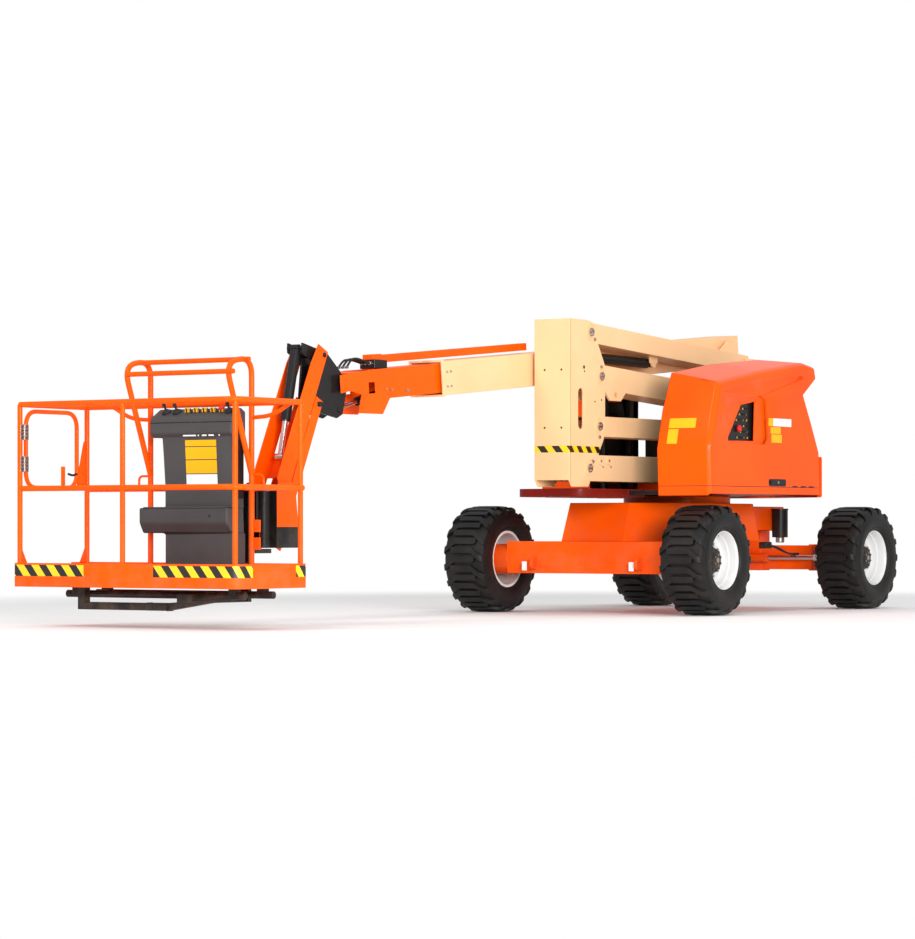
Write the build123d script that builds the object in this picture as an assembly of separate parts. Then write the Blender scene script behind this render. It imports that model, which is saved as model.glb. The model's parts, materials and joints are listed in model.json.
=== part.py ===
from build123d import *
import math
import os

# Articulating boom lift, stowed as it parks. Millimetres, +X towards the platform, +Y to the
# machine's left, +Z up. The origin is on the ground under the slew axis.

# Wheels and axles
WHEEL_BASE = 2550
TRACK = 1946
TYRE_D = 838
TYRE_W = 392
TYRE_BORE_D = 424
TREAD_W = 350
BEAD_W = 316
TYRE_SIDES = 40
LUG_COUNT = 20
LUG_W = 56
LUG_H = 20
RIM_FLANGE_D = 448
RIM_FLANGE_W = 328
RIM_WALL = 10
RIM_DISC_OFFSET = 30
RIM_DISC_T = 14
HUB_CAP_D = 190
HUB_CAP_REACH = 62
HUB_D = 240
WHEEL_GAP = 6
DRIVE_BEAM_H = 250
DRIVE_BEAM_DEPTH = 190
DRIVE_BEAM_X = 1285
DRIVE_BEAM_Z = 435
DRIVE_BEAM_W = 1500
STEER_BEAM_H = 200
STEER_BEAM_DEPTH = 150
STEER_BEAM_W = 1200
KINGPIN_Y = 700
KINGPIN_D = 44
KNUCKLE_D = 104
FORK_T = 28
KNUCKLE_H = 150
SPINDLE_D = 110
STEER_ARM = 150
STEER_ARM_T = 22
STEER_BARREL_D = 74
STEER_BARREL_L = 460
STEER_ROD_D = 36
STEER_EYE_D = 56
BARREL_END = 30

# Chassis
FRAME_BOTTOM_Z = 560
FRAME_TOP_Z = 860
FRAME_REAR_BOTTOM_Z = 640
FRAME_HALF_W = 470
FRAME_WALL = 16
PEDESTAL_HALF_W = 280
PEDESTAL_FOOT_X = 1325
PEDESTAL_TOP_X = 1210
FRAME_REAR_X = 1120
FRAME_REAR_HALF_W = 285
CANISTER_X = -1120
CANISTER_D = 130
CANISTER_Z = (585, 815)
LUG_Y = 470
LUG_T = 26
LUG_R = 46
LUG_BORE_R = 19
LUG_Z = 385
SLEW_RING_D = 860
SLEW_RING_BORE_D = 560
SLEW_RING_TOP_Z = 918

# Turntable
TAIL_R = 1165
BASE_T = 32
BASE_INSET = 11
WEIGHT_FRONT_X = -480
BASE_HALF_W = math.sqrt(TAIL_R**2 - WEIGHT_FRONT_X**2) - BASE_INSET
BASE_FRONT_X = 1350
BASE_FRONT_FAR_Y = 430
BASE_FAR_Y = 605
BASE_SIDE_REAR_X = -390
TRAY_X = 2010
TRAY_Y0 = -300
TRAY_Y1 = 340
TRAY_Z0 = 900
TRAY_Z1 = 962
EAR_T = 15
WEIGHT_LOW_Z = 1235
WEIGHT_TOP_Z = 1500
WEIGHT_UPPER_R = 1090
WEIGHT_UPPER_HALF_W = 600
WEIGHT_SLOT_REAR_X = -975
WEIGHT_SLOT_HALF_W = 330

# Hoods
HOOD_OVERHANG = 30
HOOD_OUTER_Y = BASE_HALF_W + HOOD_OVERHANG
HOOD_INNER_Y = 620
HOOD_BOTTOM_Z = 910
HOOD_T = 14
HOOD_HINGE_Y = 600
HOOD_HINGE_Z = 1905
HOOD_HINGE_D = 30
HOOD_ROUND = 34
HOOD_TABS = {1: (640, 40), -1: (240, -160)}
SHORT_HOOD_X = 330
HOOD_SIDE = (
    (1383, 910),
    (1402, 1270),
    (1330, 1520),
    (1243, 1780),
    (602, 1881),
    (-151, 1974),
    (-330, 1950),
    (-360, 1846),
    (-150, 1711),
    (-280, 1500),
    (-411, 1272),
    (-428, 912),
)
HOOD_INNER_SIDE = (
    (1383, 910),
    (1402, 1270),
    (1320, 1560),
    (1180, 1860),
    (560, 1950),
    (-200, 2015),
    (-440, 2010),
    (-460, 1900),
    (-450, 1711),
    (-452, 1500),
    (-455, 1272),
    (-440, 912),
)
HOOD_WINDOW = ((1085, 1332), (861, 1609), (635, 1643), (651, 1337))
ENGINE_X = (-300, 280)
ENGINE_Y = (-1000, -700)
ENGINE_TOP_Z = 1400
PANEL_X = (620, 1110)
PANEL_Z = (1300, 1680)
PANEL_INSET = 60

# Risers: pin places in the stowed pose, and the two arm lengths
RISER_Y = 125
UPRIGHT_W = 310
UPRIGHT_PLATE_T = 12
UPRIGHT_FRONT_X = 2124
UPRIGHT_FOOT_Z = 1024
UPRIGHT_TOP_Z = 2240
UPRIGHT_SIDE = (
    (UPRIGHT_FRONT_X, UPRIGHT_FOOT_Z),
    (UPRIGHT_FRONT_X, UPRIGHT_TOP_Z),
    (1854, 2240),
    (1700, 2210),
    (1700, 2062),
    (1598, 1902),
    (1598, 1420),
    (1620, 1340),
    (1677, 1251),
    (1795, 1047),
    (1848, 975),
    (2082, 975),
)
UPRIGHT_SLOT = (1960, 1566, 76, 310)
HANGER_OUTLINE = ((1600, 1735), (1490, 1640), (1330, 1640), (1240, 1720))
HANGER_HOLE = (1408, 1686)
HANGER_HOLE_D = 44
ARM_GAP = 6
LOWER_LINK_PIN = (1696, 1438)
LOWER_ARM_PIN = (1840, 1119)
UPPER_LINK_PIN = (1821, 2150)
UPPER_ARM_PIN = (1668, 1820)
LOWER_L = 2450
UPPER_L = 2550
UPPER_SLOPE = 3.3
LOWER_ARM_H = 200
LOWER_LINK_H = 154
UPPER_ARM_H = 186
UPPER_LINK_H = 150
ARM_WALL = 8
PIN_D = 50
PIN_GAP = 0.05
BOSS_D = 104
RISER_EYE = (1752, 1975)
RISER_BASE_BACK = 1140
RISER_BASE_DROP = 123
RISER_BARREL_D = 80
RISER_BARREL_L = 880
RISER_ROD_D = 46

# Boom
BOOM_Y = -200
BOOM_PIVOT = (-950, 2134)
BOOM_PITCH = 5.1
BASE_BOOM_H = 250
BASE_BOOM_W = 280
BASE_BOOM_BACK = 200
BASE_BOOM_FRONT = 4307
BOOM_WALL = 8
COLLAR_L = 26
COLLAR_T = 8
FLY_H = 212
FLY_W = 224
FLY_REAR = 700
FLY_FRONT = 5180
FLY_NOSE = 5540
FLY_OPEN = 4780
FLY_WALL = 8
LIFT_BASE = (-620, 1640)
LIFT_LUG_ALONG = 1500
LIFT_LUG_DROP = 185
MOUNT_BOTTOM_Z = 1575
MOUNT_EAR_GAP = 20
LIFT_PIN_D = 40
LIFT_BARREL_D = 110
LIFT_BARREL_L = 960
LIFT_ROD_D = 60
CARRIER_H = 55
CARRIER_W = 62
CARRIER_WALL = 5
CARRIER_GAP = 22
CARRIER_FRONT = 4980
CARRIER_REAR = 2960

# Jib
JIB_HALF_W = 110
JIB_PLATE_T = 10
JIB_TOP = (4765, 1860)
JIB_LINK_TOP = (4805, 1520)
JIB_VECTOR = (460, -960)
JIB_LINK_W = 180
JIB_LINK_DEPTH = 84
JIB_PIN_D = 36
LEVEL_PIVOT = (4500, 1655)
LEVEL_PIN = (4519, 1490)
LEVEL_BASE = (3760, 1665)
LEVEL_BARREL_D = 64
LEVEL_BARREL_L = 470
LEVEL_ROD_D = 34
JIB_CYL_TOP = (4950, 1905)
JIB_CYL_ALONG = 800
JIB_WEB_START = 745
JIB_BARREL_D = 70
JIB_BARREL_L = 520
JIB_ROD_D = 40

# Platform
ROTATOR = (5390, -150)
ROTATOR_D = 92
ROTATOR_Z0 = 530
ROTATOR_Z1 = 915
BRACKET_REACH = 270
BRACKET_T = 14
PLATFORM_X0 = 5684
PLATFORM_X1 = 6438
PLATFORM_Y0 = -1454
PLATFORM_Y1 = 420
FLOOR_Z0 = 271
FLOOR_T = 26
KICK_H = 160
KICK_T = 6
RAIL_D = 38
TOP_RAIL_Z = 1495
MID_RAIL_Z = 930
RAIL_BEND = 100
POST_D = 35
DECK_T = 3
DECK_X = 390
DECK_INSET = 90
GATE_TUBE_D = 30
GATE_BEND = 110
GATE_Z0 = 938
GATE_Z1 = 1453
HANDLE_D = 16
CONSOLE_BODY_Y = (-635, -60)
CONSOLE_SLAB_Y = (-730, -40)
CONSOLE_TRAY_Y = (-800, -56)
CONSOLE_STAND_Y = (-612, -40)
CONSOLE_TRAY_Z = (630, 800)
CONSOLE_SLAB = ((0, 1285), (0, 1440), (50, 1468), (155, 1405), (165, 1300), (135, 1270))
CONSOLE_BODY = ((0, 780), (0, 1300), (140, 1300), (118, 940), (118, 780))
CONSOLE_DEPTH = 190
CONSOLE_STAND_DEPTH = 145
CONSOLE_WALL = 6
GUARD_Z = 1800
GUARD_Y0 = -867
GUARD_Y1 = -8
GUARD_REACH = 290
MID_POST_Y = -542
GUARD_DROP = 35
GUARD_BRACE_Z = 1023
SUPPORT_TUBE_D = 50
SUPPORT_TUBE_Z = 222
SUPPORT_TUBE_Y = (-1270, 235)
SUPPORT_LOW_Z = 120


def block(x0, x1, y0, y1, z0, z1):
    """A box between two corners."""
    return Pos((x0 + x1) / 2, (y0 + y1) / 2, (z0 + z1) / 2) * Box(
        abs(x1 - x0), abs(y1 - y0), abs(z1 - z0)
    )


def side_plate(points, y0, y1):
    """A plate whose outline lies in the XZ plane, between two values of Y."""
    face = make_face(Polyline(*points, close=True))
    return extrude(Plane.XZ.offset(-y1) * face, amount=y1 - y0)


def plan_plate(points, z0, z1):
    """A plate whose outline lies in the XY plane, between two values of Z."""
    face = make_face(Polyline(*points, close=True))
    return extrude(Plane.XY.offset(z0) * face, amount=z1 - z0)


def rod_between(start, end, diameter):
    """A round bar from one point to another."""
    start = Vector(*start)
    end = Vector(*end)
    along = end - start
    plane = Plane(origin=start, z_dir=along)
    return plane * extrude(Circle(diameter / 2), amount=along.length)


def cross_pin(place, diameter, y0, y1):
    """A round bar along Y through a point of the XZ plane."""
    return rod_between((place[0], y0, place[1]), (place[0], y1, place[1]), diameter)


def boom_point(along, up=0):
    """The XZ place of a point given along the boom from its pivot, and square to it."""
    pitch = math.radians(BOOM_PITCH)
    x = BOOM_PIVOT[0] + along * math.cos(pitch) + up * math.sin(pitch)
    z = BOOM_PIVOT[1] - along * math.sin(pitch) + up * math.cos(pitch)
    return (x, z)


def boom_box(along0, along1, up0, up1, width):
    """A box laid along the boom, centred on the boom's own plane."""
    corners = [
        boom_point(along0, up0),
        boom_point(along1, up0),
        boom_point(along1, up1),
        boom_point(along0, up1),
    ]
    return side_plate(corners, BOOM_Y - width / 2, BOOM_Y + width / 2)


def shifted(place, dx, dz):
    return (place[0] + dx, place[1] + dz)


def bent_tube(points, radius, diameter):
    """A round tube along a line of points, bent to a radius at each corner in two flats."""
    points = [Vector(*point) for point in points]
    line = [points[0]]
    for before, corner, after in zip(points, points[1:], points[2:]):
        arriving = (corner - before).normalized()
        leaving = (after - corner).normalized()
        half_turn = math.radians(arriving.get_angle(leaving)) / 2
        setback = radius * math.tan(half_turn)
        inwards = (leaving - arriving).normalized()
        middle = corner + inwards * (radius / math.cos(half_turn) - radius)
        line += [corner - arriving * setback, middle, corner + leaving * setback]
    path = Polyline(*line, points[-1])
    section = Plane(origin=path @ 0, z_dir=path % 0) * Circle(diameter / 2)
    return sweep(section, path=path, transition=Transition.RIGHT)


# Rear pins of the riser arms
LOWER_LINK_REAR = shifted(LOWER_LINK_PIN, -LOWER_L, 0)
LOWER_ARM_REAR = shifted(LOWER_ARM_PIN, -LOWER_L, 0)
UPPER_BACK = (
    -UPPER_L * math.cos(math.radians(UPPER_SLOPE)),
    -UPPER_L * math.sin(math.radians(UPPER_SLOPE)),
)
UPPER_LINK_REAR = shifted(UPPER_LINK_PIN, *UPPER_BACK)
UPPER_ARM_REAR = shifted(UPPER_ARM_PIN, *UPPER_BACK)
ARM_HALF_W = UPRIGHT_W / 2 - UPRIGHT_PLATE_T - ARM_GAP
JIB_FOOT = shifted(JIB_TOP, *JIB_VECTOR)
JIB_LINK_FOOT = shifted(JIB_LINK_TOP, *JIB_VECTOR)


def tyre(x, side):
    """A foam-filled tyre: the carcass as a many-sided ring, with its lugs fused round it."""
    half = TYRE_W / 2
    bore = TYRE_BORE_D / 2
    crown = TYRE_D / 2 - LUG_H
    profile = [(BEAD_W / 2, RIM_FLANGE_D / 2 + 1), (half, bore + 80), (TREAD_W / 2, crown - 6)]
    sections = [wheel_section(radius, -y) for y, radius in profile]
    sections += [wheel_section(radius, y) for y, radius in reversed(profile)]
    carcass = loft(sections, ruled=True)
    carcass -= extrude(wheel_section(bore, -half), amount=TYRE_W)
    turned = [Rot(0, i * 360 / LUG_COUNT, 0) * tyre_lug() for i in range(LUG_COUNT)]
    return Pos(x, side * TRACK / 2, TYRE_D / 2) * carcass.fuse(*turned)


def wheel_section(radius, y):
    """A many-sided section across the wheel's own axis, its flats at a radius."""
    plane = Plane(origin=(0, y, 0), x_dir=(1, 0, 0), z_dir=(0, 1, 0))
    return plane * RegularPolygon(radius, TYRE_SIDES, major_radius=False)


def tyre_lug():
    """One bar across the crown that folds down over both shoulders."""
    half = TYRE_W / 2
    radius = TYRE_D / 2
    outline = [
        (-half + 4, radius - LUG_H - 60),
        (-half + 8, radius - 40),
        (-TREAD_W / 2 + 20, radius),
        (TREAD_W / 2 - 20, radius),
        (half - 8, radius - 40),
        (half - 4, radius - LUG_H - 60),
    ]
    face = make_face(Plane.YZ * Polyline(*outline, close=True))
    return extrude(face, amount=LUG_W / 2, both=True)


def rim(x, side):
    """A deep-dish wheel with its hub cap, the dish facing outwards."""
    outer = TYRE_BORE_D / 2
    half = RIM_FLANGE_W / 2
    seat = BEAD_W / 2
    barrel_profile = [
        (outer - RIM_WALL, -half),
        (RIM_FLANGE_D / 2, -half),
        (RIM_FLANGE_D / 2, -seat),
        (outer, -seat),
        (outer, seat),
        (RIM_FLANGE_D / 2, seat),
        (RIM_FLANGE_D / 2, half),
        (outer - RIM_WALL, half),
    ]
    barrel = revolve(make_face(Polyline(*barrel_profile, close=True)), Axis.Y)
    disc_in = RIM_DISC_OFFSET
    disc_out = RIM_DISC_OFFSET + RIM_DISC_T
    disc_profile = [
        (0, disc_in),
        (outer - RIM_WALL + 1, disc_in),
        (outer - RIM_WALL + 1, disc_out),
        (HUB_CAP_D / 2, disc_out),
        (HUB_CAP_D / 2 - 12, disc_out + HUB_CAP_REACH),
        (0, disc_out + HUB_CAP_REACH),
    ]
    disc = revolve(make_face(Polyline(*disc_profile, close=True)), Axis.Y)
    wheel = barrel + disc
    if side < 0:
        wheel = mirror(wheel, Plane.XZ)
    return Pos(x, side * TRACK / 2, TYRE_D / 2) * wheel


def hub(x, side, inner_y):
    """The fixed hub behind a wheel's disc."""
    z = TYRE_D / 2
    outer_y = TRACK / 2 + RIM_DISC_OFFSET - WHEEL_GAP
    return rod_between((x, side * inner_y, z), (x, side * outer_y, z), HUB_D)


def drive_axle():
    half_depth = DRIVE_BEAM_DEPTH / 2
    half_h = DRIVE_BEAM_H / 2
    beam = block(
        DRIVE_BEAM_X - half_depth,
        DRIVE_BEAM_X + half_depth,
        -DRIVE_BEAM_W / 2,
        DRIVE_BEAM_W / 2,
        DRIVE_BEAM_Z - half_h,
        DRIVE_BEAM_Z + half_h,
    )
    for side in (-1, 1):
        beam += hub(WHEEL_BASE / 2, side, DRIVE_BEAM_W / 2 - 20)
        beam += tie_down_lug(side)
    return beam


def tie_down_lug(side):
    """A plate with a ring hole that stands out of the drive axle's front face."""
    face_x = DRIVE_BEAM_X + DRIVE_BEAM_DEPTH / 2
    y0 = side * LUG_Y - LUG_T / 2
    y1 = side * LUG_Y + LUG_T / 2
    plate = block(face_x - 2, face_x + LUG_R, y0, y1, LUG_Z - LUG_R, LUG_Z + LUG_R)
    plate += cross_pin((face_x + LUG_R, LUG_Z), 2 * LUG_R, y0, y1)
    return plate - cross_pin((face_x + LUG_R, LUG_Z), 2 * LUG_BORE_R, y0 - 1, y1 + 1)


def steer_axle():
    x = -WHEEL_BASE / 2
    z = TYRE_D / 2
    half_depth = STEER_BEAM_DEPTH / 2
    fork_z = KNUCKLE_H / 2 + WHEEL_GAP
    beam = block(
        x - half_depth,
        x + half_depth,
        -STEER_BEAM_W / 2,
        STEER_BEAM_W / 2,
        z - STEER_BEAM_H / 2,
        z + STEER_BEAM_H / 2,
    )
    beam += block(x - half_depth, x + half_depth + 16, -130, 130, z - 110, FRAME_REAR_BOTTOM_Z)
    for side in (-1, 1):
        tip = side * KINGPIN_Y
        root = side * (STEER_BEAM_W / 2 - 40)
        for level in (-1, 1):
            z0 = z + level * fork_z
            z1 = z + level * (fork_z + FORK_T)
            beam += block(x - 52, x + 52, root, tip, z0, z1)
            beam += rod_between((x, tip, z0), (x, tip, z1), KNUCKLE_D)
        beam += rod_between((x, tip, z - fork_z), (x, tip, z + fork_z), KINGPIN_D)
    return beam + steer_cylinder()


def steer_cylinder():
    x = steer_line_x()
    half = STEER_BARREL_L / 2
    z = TYRE_D / 2
    barrel = rod_between((x, -half, z), (x, half, z), STEER_BARREL_D)
    barrel -= rod_between((x, -half - 1, z), (x, half + 1, z), STEER_ROD_D + 2 * PIN_GAP)
    back_x = -WHEEL_BASE / 2 + STEER_BEAM_DEPTH / 2 - 1
    for side in (-1, 1):
        y = side * (half - 60)
        strap = block(back_x, x, y - 20, y + 20, z - 36, z + 36)
        strap -= rod_between((x, y - 30, z), (x, y + 30, z), STEER_BARREL_D - 4)
        barrel += strap
    return barrel


def steer_line_x():
    """Where the steering cylinder lies, ahead of the steer beam by one steering arm."""
    return -WHEEL_BASE / 2 + STEER_ARM


def steer_rod():
    x = steer_line_x()
    z = TYRE_D / 2
    y = KINGPIN_Y - 20
    rod = rod_between((x, -y, z), (x, y, z), STEER_ROD_D)
    for side in (-1, 1):
        rod += rod_between((x, side * y, z - 24), (x, side * y, z + 24), STEER_EYE_D)
    return rod


def knuckle(side):
    x = -WHEEL_BASE / 2
    z = TYRE_D / 2
    y = side * KINGPIN_Y
    half = KNUCKLE_H / 2
    body = rod_between((x, y, z - half), (x, y, z + half), KNUCKLE_D)
    end_y = side * (TRACK / 2 + RIM_DISC_OFFSET - WHEEL_GAP)
    body += rod_between((x, y, z), (x, end_y, z), SPINDLE_D)
    body += rod_between((x, side * (TRACK / 2 - 60), z), (x, end_y, z), HUB_D)
    arm_z = z - 24 - WHEEL_GAP - STEER_ARM_T
    arm = block(x, x + STEER_ARM, y - 24, y + 24, arm_z, arm_z + STEER_ARM_T)
    arm += rod_between((x + STEER_ARM, y, arm_z), (x + STEER_ARM, y, arm_z + STEER_ARM_T), 64)
    body += arm
    bore = rod_between((x, y, z - half - 1), (x, y, z + half + 1), KINGPIN_D + 2 * PIN_GAP)
    return body - bore


def chassis_frame():
    """The pedestal over the drive axle, the wide body under the ring and the narrow tail."""
    foot = [
        (PEDESTAL_FOOT_X, -PEDESTAL_HALF_W),
        (PEDESTAL_FOOT_X, PEDESTAL_HALF_W),
        (900, FRAME_HALF_W + 60),
        (-420, FRAME_HALF_W + 60),
        (-640, FRAME_REAR_HALF_W),
        (-640, -FRAME_REAR_HALF_W),
        (-420, -FRAME_HALF_W - 60),
        (900, -FRAME_HALF_W - 60),
    ]
    top = [
        (PEDESTAL_TOP_X, -PEDESTAL_HALF_W + 10),
        (PEDESTAL_TOP_X, PEDESTAL_HALF_W - 10),
        (880, FRAME_HALF_W),
        (-420, FRAME_HALF_W),
        (-640, FRAME_REAR_HALF_W),
        (-640, -FRAME_REAR_HALF_W),
        (-420, -FRAME_HALF_W),
        (880, -FRAME_HALF_W),
    ]
    low = Plane.XY.offset(FRAME_BOTTOM_Z) * make_face(Polyline(*foot, close=True))
    high = Plane.XY.offset(FRAME_TOP_Z) * make_face(Polyline(*top, close=True))
    body = loft([low, high], ruled=True)
    foot_wire = offset(Polyline(*foot, close=True), amount=-FRAME_WALL, kind=Kind.INTERSECTION)
    top_wire = offset(Polyline(*top, close=True), amount=-FRAME_WALL, kind=Kind.INTERSECTION)
    low = Plane.XY.offset(FRAME_BOTTOM_Z) * make_face(foot_wire)
    high = Plane.XY.offset(FRAME_TOP_Z - FRAME_WALL) * make_face(top_wire)
    body -= loft([low, high], ruled=True)
    tail = block(
        -WHEEL_BASE / 2 - 30,
        -600,
        -FRAME_REAR_HALF_W,
        FRAME_REAR_HALF_W,
        FRAME_REAR_BOTTOM_Z,
        FRAME_TOP_Z - 20,
    )
    canister_y = FRAME_REAR_HALF_W + CANISTER_D / 2 - 3
    z0, z1 = CANISTER_Z
    canister = rod_between((CANISTER_X, canister_y, z0), (CANISTER_X, canister_y, z1), CANISTER_D)
    canister += rod_between(
        (CANISTER_X, canister_y, z0 - 30), (CANISTER_X, canister_y, z0), CANISTER_D * 0.45
    )
    return body + tail + canister + slew_ring()


def slew_ring():
    profile = [
        (SLEW_RING_BORE_D / 2, FRAME_TOP_Z - 1),
        (SLEW_RING_D / 2, FRAME_TOP_Z - 1),
        (SLEW_RING_D / 2, SLEW_RING_TOP_Z),
        (SLEW_RING_BORE_D / 2, SLEW_RING_TOP_Z),
    ]
    face = Plane.XZ * make_face(Polyline(*profile, close=True))
    return revolve(face, Axis.Z)


def tail_segment(radius, front_x, z0, z1):
    """The part of a disc behind a line, as the tail of the turntable is."""
    disc = Pos(0, 0, (z0 + z1) / 2) * Cylinder(radius, z1 - z0)
    return disc & block(-radius - 10, front_x, -radius - 10, radius + 10, z0 - 1, z1 + 1)


def turntable_frame():
    base_z0 = SLEW_RING_TOP_Z + 2
    base_z1 = base_z0 + BASE_T
    outline = [
        (BASE_FRONT_X, -BASE_FRONT_FAR_Y),
        (BASE_FRONT_X, BASE_HALF_W),
        (BASE_SIDE_REAR_X, BASE_HALF_W),
        (BASE_SIDE_REAR_X, -BASE_HALF_W),
        (SHORT_HOOD_X - 2 * HOOD_T, -BASE_HALF_W),
        (SHORT_HOOD_X - 2 * HOOD_T, -BASE_FAR_Y),
        (BASE_FRONT_X - 300, -BASE_FAR_Y),
    ]
    base = plan_plate(outline, base_z0, base_z1)
    base += block(WEIGHT_SLOT_REAR_X, BASE_SIDE_REAR_X + 1, -325, 325, base_z0, base_z1)
    tray = block(BASE_FRONT_X - 250, TRAY_X, TRAY_Y0, TRAY_Y1, TRAY_Z0, TRAY_Z1)
    tray = fillet(tray.edges().filter_by(Axis.Z).group_by(Axis.X)[-1], 150)
    base += tray
    for y in (RISER_Y - ARM_HALF_W - ARM_GAP, RISER_Y + ARM_HALF_W + ARM_GAP):
        sign = -1 if y < RISER_Y else 1
        outline = [
            (WEIGHT_SLOT_REAR_X + 10, base_z1 - 1),
            (-350, base_z1 - 1),
            (-500, LOWER_ARM_REAR[1] + 60),
            (LOWER_LINK_REAR[0] + 90, LOWER_LINK_REAR[1] + 80),
            (LOWER_LINK_REAR[0] - 80, LOWER_LINK_REAR[1] + 80),
        ]
        ear = side_plate(outline, min(y, y + sign * EAR_T), max(y, y + sign * EAR_T))
        base += ear
    reach = ARM_HALF_W + ARM_GAP + EAR_T
    for place in (LOWER_LINK_REAR, LOWER_ARM_REAR):
        base += cross_pin(place, PIN_D, RISER_Y - reach - 8, RISER_Y + reach + 8)
    for side in (-1, 1):
        post_y = side * (HOOD_HINGE_Y - 40)
        for tab_x in HOOD_TABS[side]:
            x = tab_x - 40
            base += block(x - 30, x + 30, post_y - 20, post_y + 20, base_z1 - 1, HOOD_HINGE_Z)
            base += rod_between(
                (x - 30, side * HOOD_HINGE_Y, HOOD_HINGE_Z),
                (x + 30, side * HOOD_HINGE_Y, HOOD_HINGE_Z),
                HOOD_HINGE_D,
            )
            base += block(
                x - 30,
                x + 30,
                post_y - 20,
                side * HOOD_HINGE_Y,
                HOOD_HINGE_Z - 12,
                HOOD_HINGE_Z + 12,
            )
    return base + control_panel()


def counterweight():
    low = tail_segment(TAIL_R, WEIGHT_FRONT_X, HOOD_BOTTOM_Z, WEIGHT_LOW_Z)
    high = tail_segment(WEIGHT_UPPER_R, WEIGHT_FRONT_X - 40, WEIGHT_LOW_Z - 1, WEIGHT_TOP_Z)
    high &= block(
        -WEIGHT_UPPER_R,
        0,
        -WEIGHT_UPPER_HALF_W,
        WEIGHT_UPPER_HALF_W,
        WEIGHT_LOW_Z - 2,
        WEIGHT_TOP_Z + 1,
    )
    body = low + high
    slot = block(
        WEIGHT_SLOT_REAR_X,
        0,
        -WEIGHT_SLOT_HALF_W,
        WEIGHT_SLOT_HALF_W,
        HOOD_BOTTOM_Z - 1,
        WEIGHT_TOP_Z + 1,
    )
    return body - slot


def hood(side):
    """A lid over one side of the turntable, a shell open below and inwards; the right one is short."""
    skin = hood_form(0)
    hollow = hood_form(HOOD_T)
    hollow += block(
        HOOD_INNER_SIDE[-1][0] + 2 * HOOD_T,
        HOOD_INNER_SIDE[0][0] - HOOD_T,
        HOOD_INNER_Y - 10,
        HOOD_OUTER_Y - HOOD_T,
        HOOD_BOTTOM_Z - 10,
        HOOD_BOTTOM_Z + 20,
    )
    if side < 0:
        skin &= behind(SHORT_HOOD_X)
        hollow &= behind(SHORT_HOOD_X - HOOD_T)
    lid = skin - hollow
    if side > 0:
        lid -= side_plate(HOOD_WINDOW, HOOD_OUTER_Y - 60, HOOD_OUTER_Y + 20)
    for x in HOOD_TABS[side]:
        lid += hood_hinge_tab(x)
    if side < 0:
        lid = mirror(lid, Plane.XZ)
    return lid


def behind(x):
    """Everything rearward of a plane, as a box that is larger than a hood."""
    return block(-2 * TAIL_R, x, 0, 2 * TAIL_R, 0, 2 * HOOD_HINGE_Z)


def hood_hinge_tab(x):
    """A hinge eye under the roof, on a tab that comes down from it."""
    roof_z = HOOD_INNER_SIDE[3][1] + (HOOD_INNER_SIDE[3][0] - x) * 0.105
    y1 = HOOD_INNER_Y + 24
    tab = block(x, x + 50, HOOD_HINGE_Y, y1, HOOD_HINGE_Z - 8, HOOD_HINGE_Z + 8)
    tab += block(x, x + 50, HOOD_INNER_Y, y1, HOOD_HINGE_Z - 8, roof_z)
    pin = rod_between(
        (x, HOOD_HINGE_Y, HOOD_HINGE_Z), (x + 50, HOOD_HINGE_Y, HOOD_HINGE_Z), HOOD_HINGE_D
    )
    return tab + pin


def hood_form(inset):
    """The lid's outer form with its rounded outer edge, or its hollow when an inset is given."""
    start = HOOD_INNER_Y - (1 if inset else 0)
    faces = [
        hood_section(HOOD_INNER_SIDE, inset, start),
        hood_section(HOOD_SIDE, inset, HOOD_OUTER_Y - HOOD_ROUND),
        hood_section(HOOD_SIDE, inset + HOOD_ROUND * 0.6, HOOD_OUTER_Y - inset),
    ]
    return loft(faces, ruled=True)


def hood_section(points, inset, y):
    wire = Polyline(*points, close=True)
    if inset:
        wire = offset(wire, amount=-inset, kind=Kind.INTERSECTION)
    return Plane.XZ.offset(-y) * make_face(wire)


def engine_block():
    base_top = SLEW_RING_TOP_Z + 2 + BASE_T
    return block(*ENGINE_X, *ENGINE_Y, base_top, ENGINE_TOP_Z)


def control_panel():
    """The board behind the left hood's window, on two posts."""
    base_top = SLEW_RING_TOP_Z + 1 + BASE_T
    back = HOOD_OUTER_Y - 2 * PANEL_INSET
    panel = block(*PANEL_X, back, HOOD_OUTER_Y - PANEL_INSET, *PANEL_Z)
    for x in (PANEL_X[0] + 20, PANEL_X[1] - 110):
        panel += block(x, x + 60, back, back + 30, base_top, PANEL_Z[0] + 1)
    return panel


def arm(front, rear, height, extra=None):
    """A box arm between two pins, with a boss at each end."""
    along = math.atan2(front[1] - rear[1], front[0] - rear[0])
    dx = -math.sin(along) * height / 2
    dz = math.cos(along) * height / 2
    corners = [shifted(rear, dx, dz), shifted(front, dx, dz)]
    corners += [shifted(front, -dx, -dz), shifted(rear, -dx, -dz)]
    y0 = RISER_Y - ARM_HALF_W
    y1 = RISER_Y + ARM_HALF_W
    body = side_plate(corners, y0, y1)
    shrink = (height / 2 - ARM_WALL) / (height / 2)
    bore = [shifted(rear, dx * shrink, dz * shrink), shifted(front, dx * shrink, dz * shrink)]
    bore += [shifted(front, -dx * shrink, -dz * shrink), shifted(rear, -dx * shrink, -dz * shrink)]
    body -= side_plate(bore, y0 + ARM_WALL, y1 - ARM_WALL)
    for place in (front, rear):
        body += cross_pin(place, BOSS_D, y0, y1)
    if extra:
        body += extra
    for place in (front, rear):
        body -= cross_pin(place, PIN_D + 2 * PIN_GAP, y0 - 1, y1 + 1)
    return body


def lower_arm():
    return arm(LOWER_ARM_PIN, LOWER_ARM_REAR, LOWER_ARM_H)


def lower_link():
    return arm(LOWER_LINK_PIN, LOWER_LINK_REAR, LOWER_LINK_H)


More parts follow.
